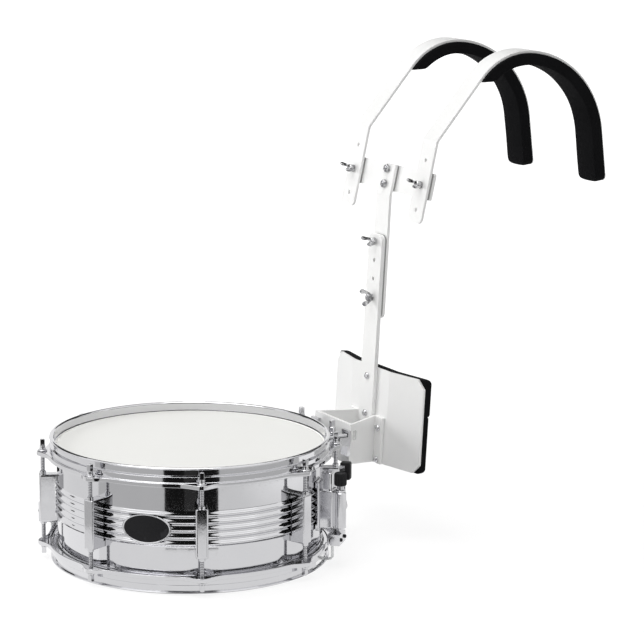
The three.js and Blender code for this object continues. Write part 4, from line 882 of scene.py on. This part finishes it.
def make_carrier_bolts(context):
    """Hexagon nuts on the cross plate's bolts, round screws on the bracket and the lower bar."""
    for i, level in enumerate((36, 15), 1):
        seat = at(TOP, z=level, turn=90)
        hexagon = arc(0, 0, 1, 30, 300, 5)
        nut = levels(hexagon, (5.5, -0.2), (5.75, 0.2), (5.75, 4.2), (5.1, 4.8), place=seat)
        piece(f"cross_nut_{i}", [nut], "zinc plate", "yoke", 0.3, sharp=30)
        thread = turned([(3.1, 4.6), (3.1, 5.5), (2.6, 6)], 24, seat)
        piece(f"cross_bolt_end_{i}", [thread], "chromed thread", "yoke")
    seats = [(f"bracket_screw_{i}", x, -4.3, z, 4.5, 3.2)
             for i, (x, z) in enumerate(((-34, -42), (-34, 2), (34, -42), (34, 2)), 1)]
    seats += [(f"belly_screw_{i}", 0, -5.8, z, 4.9, 3.4) for i, z in enumerate((16.5, 68.6), 1)]
    dome = ((1, -0.08), (1, 0.3), (0.95, 0.56), (0.8, 0.8), (0.62, 0.93), (0.5, 0.97))
    for name, x, y, z, radius, height in seats:
        seat = at(SPINE, x, y, z, turn=90)
        profile = [(radius * share, height * level) for share, level in dome]
        piece(name, [turned(profile, 32, seat)],
              cut=[rod(radius * 0.36, height * 0.9, height * 1.3, steps=6, place=seat)])


def walk(start, legs):
    """Stations along a bent bar: y, z, heading from +Z towards +Y, and the run so far."""
    y, z, heading = start
    run = 0.0
    stations = [(y, z, heading, run)]
    for distance, radius, turn, steps in legs:
        half = turn / steps / 2
        step = 2 * radius * sin(half) if radius > 0 else distance / steps
        for _ in range(steps):
            heading += half
            y, z = y + step * sin(heading), z + step * cos(heading)
            heading += half
            run += 2 * radius * half if radius > 0 else step
            stations.append((y, z, heading, run))
    return stations


def bend(radius, turn, steps):
    return 0, radius, radians(turn), steps


def straight(distance, steps=1):
    return distance, 0, 0, steps


FOOT_END, FOOT_CORNER = -51, 8
SHOULDER = (bend(94, 52.5, 28), bend(130.5, 80, 56))
STRAP_LEGS = (straight(100.5, 6), bend(16, 28, 10), straight(103, 6))
STRAP_START = (0, FOOT_END + FOOT_CORNER, 0)


def across_bar(section, y, z, heading):
    """A section of (x, depth) points set across a bent bar at a station."""
    return [(x, y + depth * cos(heading), z - depth * sin(heading)) for x, depth in section]


def make_straps(context):
    """Flat bars bent up, over the shoulder and down the back, with three holes in the foot."""
    carrier = lengths(context.scene.snare_carrier)
    half, corner = carrier.bar_width / 2, FOOT_CORNER
    ease = [radians(90 * k / 8) for k in range(9)]
    foot = [(0, FOOT_END + run, 0, run) for run in (corner * (1 - cos(turn)) for turn in ease[:-1])]
    body = walk(STRAP_START, STRAP_LEGS + SHOULDER + (straight(72, 6),))
    total = body[-1][3] + corner
    stations = foot + [(y, z, heading, run + corner) for y, z, heading, run in body]
    tail, before = stations.pop(), stations.pop()
    span = tail[3] - before[3]
    for run in (span - corner + corner * sin(turn) for turn in ease):
        y, z = Vector(before[:2]).lerp(Vector(tail[:2]), run / span)
        stations.append((y, z, before[2], before[3] + run))
    rings = []
    for y, z, heading, run in stations:
        back = max(corner - min(run, total - run), 0)
        width = half - corner + max(sqrt(max(corner ** 2 - back ** 2, 0)), 0.4)
        section = box_outline(-width, 0.12, width, carrier.bar_thickness, carrier.bar_round, 3)
        rings.append(across_bar(section, y, z, heading))
    for side, sign in SIDES:
        place, name = strap_seat(carrier, sign), f"shoulder_strap_{side}"
        holes = [rod(2.9, -3, carrier.bar_thickness + 3, (0, i * 33.5), 28, place, "Y") for i in (-1, 0, 1)]
        piece(f"{name}_bar", [loft(rings, place)], "powder coat", f"strap_{side}", stands_for=(name,),
              cut=holes)


def pad_depth(run, total, thick):
    """A pad's thickness along its run: a long nose in front and a round end behind."""
    nose = 3 + (thick - 3) * sin(pi / 2 * min(run / 20, 1))
    fall = 5 - sqrt(25 - max(5 - (total - run), 0) ** 2)
    return min(nose, thick - fall)


def pad_section(half, depth, crown, edge):
    """Half-round edges and a crowned outer face over a flat back, as (x, depth) points."""
    edge = min(edge, depth * 0.45)
    top, reach = depth - crown, half - edge
    crowned = [(reach * (1 - k / 6), top + crown * (1 - (1 - k / 6) ** 2)) for k in range(1, 12)]
    right, left = (arc(sign * reach, top - edge, edge, start, 90, 6) for sign, start in ((1, 0), (-1, 90)))
    return [(0.4 - half, 0), (half - 0.4, 0), (half, 0.6), *right, *crowned, *left, (-half, 0.6)]


def make_shoulder_pads(context):
    """Moulded foam strips glued under the straps."""
    carrier = lengths(context.scene.snare_carrier)
    half, gap = carrier.pad_width / 2, carrier.bar_thickness + 0.1
    y, z, heading, _ = walk(STRAP_START, STRAP_LEGS)[-1]
    start = (y - 4 * sin(heading), z - 4 * cos(heading), heading)
    stations = walk(start, (straight(4, 4), *SHOULDER, straight(63, 14), straight(8, 12)))
    total = stations[-1][3]
    for side, sign in SIDES:
        rings = []
        for y, z, heading, run in stations:
            nose, tail = min(run / 6, 1), min((total - run) / 10, 1)
            width = half - 2.5 * (1 - sqrt(1 - (1 - nose) ** 2)) - 10 * (1 - sqrt(1 - (1 - tail) ** 2))
            wave = 0.25 * sin(run * 0.071 + sign) * sin(run * 0.037)
            depth = pad_depth(run, total, carrier.pad_thickness) + wave * min(nose, tail)
            section = [(x, gap + d) for x, d in pad_section(width, depth, 1.2, 2.8)]
            rings.append(across_bar(section, y, z, heading))
        name = f"shoulder_pad_{side}"
        foam = loft(rings, strap_seat(carrier, sign))
        pad = piece(f"{name}_foam", [foam], "closed foam", f"strap_{side}", sharp=60, stands_for=(name,))


WING_TURN = radians(12)


def belly_line(y, inset=0):
    """The fold and the wing end of the plate's front line moved back by y, on its right side."""
    half, wing = 49, 68 - inset
    return (half - y * tan(WING_TURN / 2), y), (half + wing * cos(WING_TURN) - y * sin(WING_TURN),
                                                y * cos(WING_TURN) + wing * sin(WING_TURN))


def belly_rows(thick):
    """Height, depth and end inset of each row of the belly pad, with its step and seam."""
    low, high, seam, r = -46.6, 82.6, 31.5, 6
    thin, step = thick - 2, seam + 3.6
    turns = arc(0, 0, 1, 0, 90, 6)
    rows = [(low + r - r * x, thin - r + r * y, r * (1 - y)) for x, y in turns]
    rows += [(low + r + (seam - 3 - low - r) * k / 12, thin, 0) for k in range(1, 12)]
    rows += [(seam - 3, thin, 0), (seam - 1.2, thin - 0.5, 0), (seam - 0.3, thin - 2.4, 0),
             (seam + 0.3, thin - 2.4, 0), (seam + 0.9, thin + 0.4, 0), (seam + 2.2, thick - 0.4, 0),
             (step, thick, 0)]
    rows += [(step + (high - r - step) * k / 7, thick, 0) for k in range(1, 7)]
    return rows + [(high - r + r * y, thick - r + r * x, r * (1 - x)) for x, y in turns]


def make_belly_pad(context):
    """A moulded foam pad over the belly plate: crowned, stepped, with a seam between its two parts."""
    start, r, crown = 3.1, 6, 3
    along = Vector((cos(WING_TURN), sin(WING_TURN)))
    rings = []
    for level, depth, inset in belly_rows(lengths(context.scene.snare_carrier).belly_thickness):
        fold, end = belly_line(start, inset)
        back_fold, back_end = belly_line(start + depth, inset)
        across = Vector(back_end) - Vector(end)
        reach = min(r, across.length * 0.45)
        across.normalize()
        centre = Vector(back_end) - (across + along) * reach
        right = [Vector((fold[0], start)), Vector(end)]
        right += [centre + (along * x + across * y) * reach for x, y in arc(0, 0, 1, 0, 90, 6)]
        corner = right[-1]
        for k in range(1, 9):
            x = corner.lerp(Vector((0, start + depth)), k / 9).x
            line = back_fold[1] + max(x - back_fold[0], 0) * tan(WING_TURN)
            right.append(Vector((x, line + crown * max(cos(min(x / back_end[0], 1) * pi / 2), 0) ** 1.2)))
        left = [Vector((-p.x, p.y)) for p in reversed(right)]
        rings.append([(p.x, p.y, level) for p in (*right, Vector((0, start + depth + crown)), *left)])
    pad = piece("belly_pad_foam", [loft(rings, SPINE)], "closed foam", sharp=60, stands_for=("belly_pad",))


def dress_carrier(context):
    """The carrier's CAD solids: powder coat and chrome on the metal, and on the thin liners a grey that
    partly paints the shade between the plates.
    """
    dress("powder coat", 0.7, "bracket", "belly_plate", "lower_upright", "upper_upright", "cross_plate")
    dress("cast chrome", 0.9, "claw_left", "claw_right", "claw_jaw_left", "claw_jaw_right")
    dress("rubber liner", 0.2, "upright_liner", "cross_liner", "strap_liner_left", "strap_liner_right")


# Stage, in metres

CAMERA_TURN, CAMERA_DISTANCE, CAMERA_RISE = 63.25, 3.55354, 0.287523
CAMERA_YAW, CAMERA_PITCH, CAMERA_ROLL = 0.0511776, 0.197772, 0.0069539
CAMERA_AWAY, CAMERA_HEIGHT = CAMERA_DISTANCE * cos(CAMERA_RISE), CAMERA_DISTANCE * sin(CAMERA_RISE)
VIEW = Matrix.Rotation(radians(CAMERA_TURN), 3, "Z")
DRUM_AXIS = Vector((0, AXIS_Y / MM_PER_METRE, 0))

# Glowing cards on the floor that only the chrome sees: painted dark and pale reflections in the shell, hoops
# and lugs
# Name, degrees from the camera at the left and right, heights on the shell where the card is seen in
# millimetres, rise above the floor, shades
FLOOR_CARDS = (
    ("floor_card_left", -10.6, -2.4, 98, 400, 0.0004, 0.008),
    ("floor_card_middle", -2.4, 2.7, 98, 400, 0.0004, 0.03),
    ("floor_card_right", 2.7, 11.5, 98, 400, 0.0004, 0.008),
    ("floor_card_left_near", -10.6, 1.6, 57, 91, 0.0004, 0.008),
    ("floor_card_right_near", 6.4, 11.5, 57, 91, 0.0004, 0.008),
    ("floor_card_shade", -41.6, -10.6, 84, 400, 0.0003, 0.56),
    ("floor_card_far", 11.5, 50, 143, 400, 0.0003, 0.55),
    ("floor_card_corner", -86, -76, 106, 400, 0.0004, 0.01),
    ("floor_card_pale", -86, -41.6, 84, 400, 0.0002, 0.86),
    ("floor_card_grey", -41.6, 86, 84, 400, 0.0002, 0.78, 1.1),
    ("floor_card_near_left", -86, -41.6, 3, 84, 0.0001, 1.05),
    ("floor_card_near", -41.6, 86, 3, 84, 0.0001, 0.9),
    # The next two cards paint the drum's contact shadow into the bottom edge of the lower hoop
    ("floor_card_edge", -86, 86, 1.6, 3, 0.0001, 0.5),
    ("floor_card_contact", -86, 86, 0.4, 1.6, 0.0001, 0.1),
)
# Standing glowing cards that only the chrome sees: painted dark reflections, and painted highlights from the
# two strips
# Name, degrees from the camera at the left and right, degrees above the floor at the bottom and top, shade
STANDING_CARDS = (
    ("screen_middle", -20, 23, 0, 62, 0.008),
    ("screen_right", 23, 76, 2, 13, 0.2),
    ("screen_left", -80, -20, 4, 11.5, 0.12),
    ("screen_behind", 118, 242, 21, 46, 0.03),
    ("screen_side", 84, 118, 1, 20, 0.03),
    # The two strips glow brighter than white and are no lamps: they paint highlights into the chrome
    ("strip_right", 26, 62, 27, 40, 1.5),
    ("strip_left", -62, -26, 24, 40, 1.8),
)


def towards_camera(distance, side, height=0.0):
    """A point on the floor in front of the drum, as the camera sees it."""
    return VIEW @ Vector((side, -distance, 0)) + DRUM_AXIS + Vector((0, 0, height))


def shown_by_shell(turn, level):
    """The floor's distance and side that the shell shows at an angle from the camera and at a height."""
    r = bpy.context.scene.snare_drum.shell_radius
    reach = level * (CAMERA_AWAY - r) / (CAMERA_HEIGHT - level)
    heading = 2 * turn + r * sin(turn) / CAMERA_AWAY
    return r * cos(turn) + reach * cos(heading), r * sin(turn) + reach * sin(heading)


def lamp(name, place, target, size, power, in_chrome=False):
    data = bpy.data.lights.new(name, "AREA")
    data.shape = "RECTANGLE"
    data.size = data.size_y = size
    data.energy = power
    made = placed(name, data)
    made.location = place
    made.rotation_euler = (Vector(target) - Vector(place)).to_track_quat("-Z", "Y").to_euler()
    made.visible_glossy = in_chrome


def sheet(name, first, last, look):
    """A sheet between two rows of points, with its own material."""
    count = len(first)
    data = bpy.data.meshes.new(name)
    data.from_pydata([*first, *last], [], [(k, k + 1, count + k + 1, count + k) for k in range(count - 1)])
    data.materials.append(bpy.data.materials.new(look))
    return placed(name, data), Graph(data.materials[0])


def build_card(graph, near, far):
    """An even or graded glowing card that paints a reflection: near is its shade at the left of the camera's
    view, far at the right.
    """
    grain = graph.noise(0.3, 2.0)
    across = graph.node("ShaderNodeVectorMath", {"operation": "DOT_PRODUCT"},
                        {0: graph.place(), 1: tuple(VIEW @ Vector((1, 0, 0)))})
    share = Term(graph, across.outputs["Value"]).above(0.36, 0.42)
    shown = graph.mix(grain * 0.1, graph.mix(share, (near,) * 3, (far,) * 3), (near,) * 3)
    graph.principled(Base_Color=(0, 0, 0), Roughness=1.0, Emission_Color=shown, Emission_Strength=1.0,
                     Specular_IOR_Level=0.0)


def card(name, edges, near, far=None):
    """A glowing card that only the chrome sees, between two rows of points: it paints a reflection."""
    made, graph = sheet(name, *edges, name)
    build_card(graph, near, near if far is None else far)
    for kind in ("camera", "diffuse", "shadow", "transmission", "volume_scatter"):
        setattr(made, f"visible_{kind}", False)


def split_by_ray(graph, kind, lit, seen):
    """One shader for the light that is thrown, another for what is seen directly, in chrome or film."""
    rays = graph.node("ShaderNodeLightPath").outputs
    camera, glossy, clear = (Term(graph, rays[name]) for name in
                             ("Is Camera Ray", "Is Glossy Ray", "Is Transmission Ray"))
    graph.output(kind, graph.blend(graph.math("MINIMUM", camera + glossy + clear, 1.0), lit, seen))


def build_floor(graph):
    """White paper that keeps the object's shadow and runs out into the white backdrop."""
    tint = graph.mix(graph.noise(0.8, 3.0), (0.86, 0.86, 0.86), (0.88, 0.88, 0.88))
    paper = graph.node("ShaderNodeBsdfDiffuse", None, {"Color": tint})
    glow = graph.node("ShaderNodeEmission", None, {"Color": (1, 1, 1), "Strength": 1.26})
    far = graph.node("ShaderNodeVectorMath", {"operation": "LENGTH"}, {0: graph.place()})
    share = 0.62 + 0.38 * Term(graph, far.outputs["Value"]).above(1.2, 1.2)
    split_by_ray(graph, "ShaderNodeOutputMaterial", paper, graph.blend(share, paper, glow))


def build_world(graph):
    plain, white = (graph.node("ShaderNodeBackground", None, {"Color": (1, 1, 1), "Strength": strength})
                    for strength in (0.34, 1.0))
    split_by_ray(graph, "ShaderNodeOutputWorld", plain, white)


def make_camera(lens):
    ahead = VIEW @ Vector((sin(CAMERA_YAW) * cos(CAMERA_PITCH), cos(CAMERA_YAW) * cos(CAMERA_PITCH),
                           -sin(CAMERA_PITCH)))
    right = VIEW @ Vector((cos(CAMERA_YAW), -sin(CAMERA_YAW), 0))
    up = right.cross(ahead)
    across = right * cos(CAMERA_ROLL) + up * sin(CAMERA_ROLL)
    rise = up * cos(CAMERA_ROLL) - right * sin(CAMERA_ROLL)
    data = bpy.data.cameras.new("camera")
    data.sensor_fit = "HORIZONTAL"
    data.sensor_width = 36.0
    data.lens = lens
    data.clip_end = 60.0
    made = placed("camera", data)
    place = VIEW @ Vector((0, -CAMERA_AWAY, CAMERA_HEIGHT)) + DRUM_AXIS
    made.matrix_world = Matrix.Translation(place) @ Matrix((across, rise, -ahead)).transposed().to_4x4()
    bpy.context.scene.camera = made


def make_stage(context):
    scene, stage = context.scene, context.scene.snare_stage
    scene.view_settings.view_transform = "Standard"
    scene.world = bpy.data.worlds.new("studio")
    build_world(Graph(scene.world))
    make_camera(stage.lens)
    reach, level = 9.0, -0.0002
    near, far = ([(x, y, level) for x in (-reach, reach)] for y in (-reach, reach))
    floor, graph = sheet("floor", near, far, "studio paper")
    build_floor(graph)
    lamp("overhead", towards_camera(0.2, -0.5, 3.0), (0, 0, 0.2), 2.2, stage.key_power, in_chrome=True)
    lamp("side", (-2.4, -2.1, 0.9), (0, 0, 0.25), 1.6, stage.side_power)
    lamp("front", towards_camera(2.6, 0.8, 1.4), (0, 0, 0.3), 1.4, stage.fill_power)
    steps, away = 24, 2.4
    for name, left, right, low, high, height, *shades in FLOOR_CARDS:
        turns = [radians(left + (right - left) * k / steps) for k in range(steps + 1)]
        card(name, [[towards_camera(*shown_by_shell(turn, level / MM_PER_METRE), height) for turn in turns]
                    for level in (low, high)], *shades)
    for name, left, right, low, high, shade in STANDING_CARDS:
        turns = [radians(left + (right - left) * k / steps) for k in range(steps + 1)]
        card(name, [[towards_camera(away * cos(turn), away * sin(turn), away * tan(radians(level)))
                     for turn in turns] for level in (low, high)], shade)


# Operators, panel and registration

class SnareOperator:
    bl_options = {"REGISTER"}
    steps = ()

    def execute(self, context):
        for step in self.steps:
            step(context)
        return {"FINISHED"}


class SNARE_OT_stage(SnareOperator, bpy.types.Operator):
    """Make the floor, the world, the lamps and the camera"""
    bl_idname = "snare.stage"
    bl_label = "Stage"
    steps = (make_stage,)


class SNARE_OT_shell(SnareOperator, bpy.types.Operator):
    """Make the beaded shell, its vent and the bare badge"""
    bl_idname = "snare.shell"
    bl_label = "Shell and badge"
    steps = (make_shell, make_badge)


class SNARE_OT_heads(SnareOperator, bpy.types.Operator):
    """Make the two heads with their flesh hoops"""
    bl_idname = "snare.heads"
    bl_label = "Heads"
    steps = (make_heads,)


class SNARE_OT_hoops(SnareOperator, bpy.types.Operator):
    """Make the two pressed hoops with their ears and gates"""
    bl_idname = "snare.hoops"
    bl_label = "Hoops"
    steps = (make_hoops,)


class SNARE_OT_tuning(SnareOperator, bpy.types.Operator):
    """Make the lugs and the tension rods"""
    bl_idname = "snare.tuning"
    bl_label = "Lugs and tension rods"
    steps = (make_lugs, make_rods)


class SNARE_OT_strainer(SnareOperator, bpy.types.Operator):
    """Make the strainer, its slide, knob and lever, and the butt"""
    bl_idname = "snare.strainer"
    bl_label = "Strainer and butt"
    steps = (make_strainer, make_slide, make_knob, make_lever)


class SNARE_OT_wires(SnareOperator, bpy.types.Operator):
    """Make the snare wires, their end plates and tapes"""
    bl_idname = "snare.wires"
    bl_label = "Snare wires"
    steps = (make_snare_wires,)


class SNARE_OT_screws(SnareOperator, bpy.types.Operator):
    """Make the claw screws, the wing screws and the bolts"""
    bl_idname = "snare.screws"
    bl_label = "Claw and wing screws"
    steps = (make_claw_screws, make_wing_screws, make_carrier_bolts)


class SNARE_OT_straps(SnareOperator, bpy.types.Operator):
    """Make the two bent shoulder straps"""
    bl_idname = "snare.straps"
    bl_label = "Shoulder straps"
    steps = (make_straps,)


class SNARE_OT_pads(SnareOperator, bpy.types.Operator):
    """Make the foam pads for the shoulders and the belly"""
    bl_idname = "snare.pads"
    bl_label = "Foam pads"
    steps = (make_shoulder_pads, make_belly_pad)


class SNARE_OT_carrier(SnareOperator, bpy.types.Operator):
    """Finish the carrier's claws, bracket, plates, bars and liners"""
    bl_idname = "snare.carrier"
    bl_label = "Carrier plates and bars"
    steps = (dress_carrier,)


OPERATORS = (SNARE_OT_stage, SNARE_OT_shell, SNARE_OT_heads, SNARE_OT_hoops, SNARE_OT_tuning,
             SNARE_OT_strainer, SNARE_OT_wires, SNARE_OT_screws, SNARE_OT_straps, SNARE_OT_pads,
             SNARE_OT_carrier)
SETTINGS = {"snare_finishes": SnareFinishes, "snare_drum": SnareDrumSizes, "snare_gear": SnareGearSizes,
            "snare_carrier": CarrierSizes, "snare_stage": StageSizes}


class SNARE_PT_panel(bpy.types.Panel):
    """Buttons for each group of pieces and the sizes and colours they take"""
    bl_idname = "SNARE_PT_panel"
    bl_label = "Marching snare drum"
    bl_space_type = "VIEW_3D"
    bl_region_type = "UI"
    bl_category = "Snare drum"

    def draw(self, context):
        for operator in OPERATORS:
            self.layout.operator(operator.bl_idname)
        for name in SETTINGS:
            settings = getattr(context.scene, name)
            column = self.layout.column(align=True)
            for field in settings.__annotations__:
                column.prop(settings, field)


CLASSES = (*SETTINGS.values(), *OPERATORS, SNARE_PT_panel)


def register():
    for cls in CLASSES:
        bpy.utils.register_class(cls)
    for name, group in SETTINGS.items():
        setattr(bpy.types.Scene, name, PointerProperty(type=group))


def unregister():
    for name in SETTINGS:
        delattr(bpy.types.Scene, name)
    for cls in reversed(CLASSES):
        bpy.utils.unregister_class(cls)


def plain(box):
    return [[float(value) for value in corner] for corner in box]


def main():
    register()
    for operator in OPERATORS:
        group, name = operator.bl_idname.split(".")
        getattr(getattr(bpy.ops, group), name)()


if __name__ == "__main__":
    main()
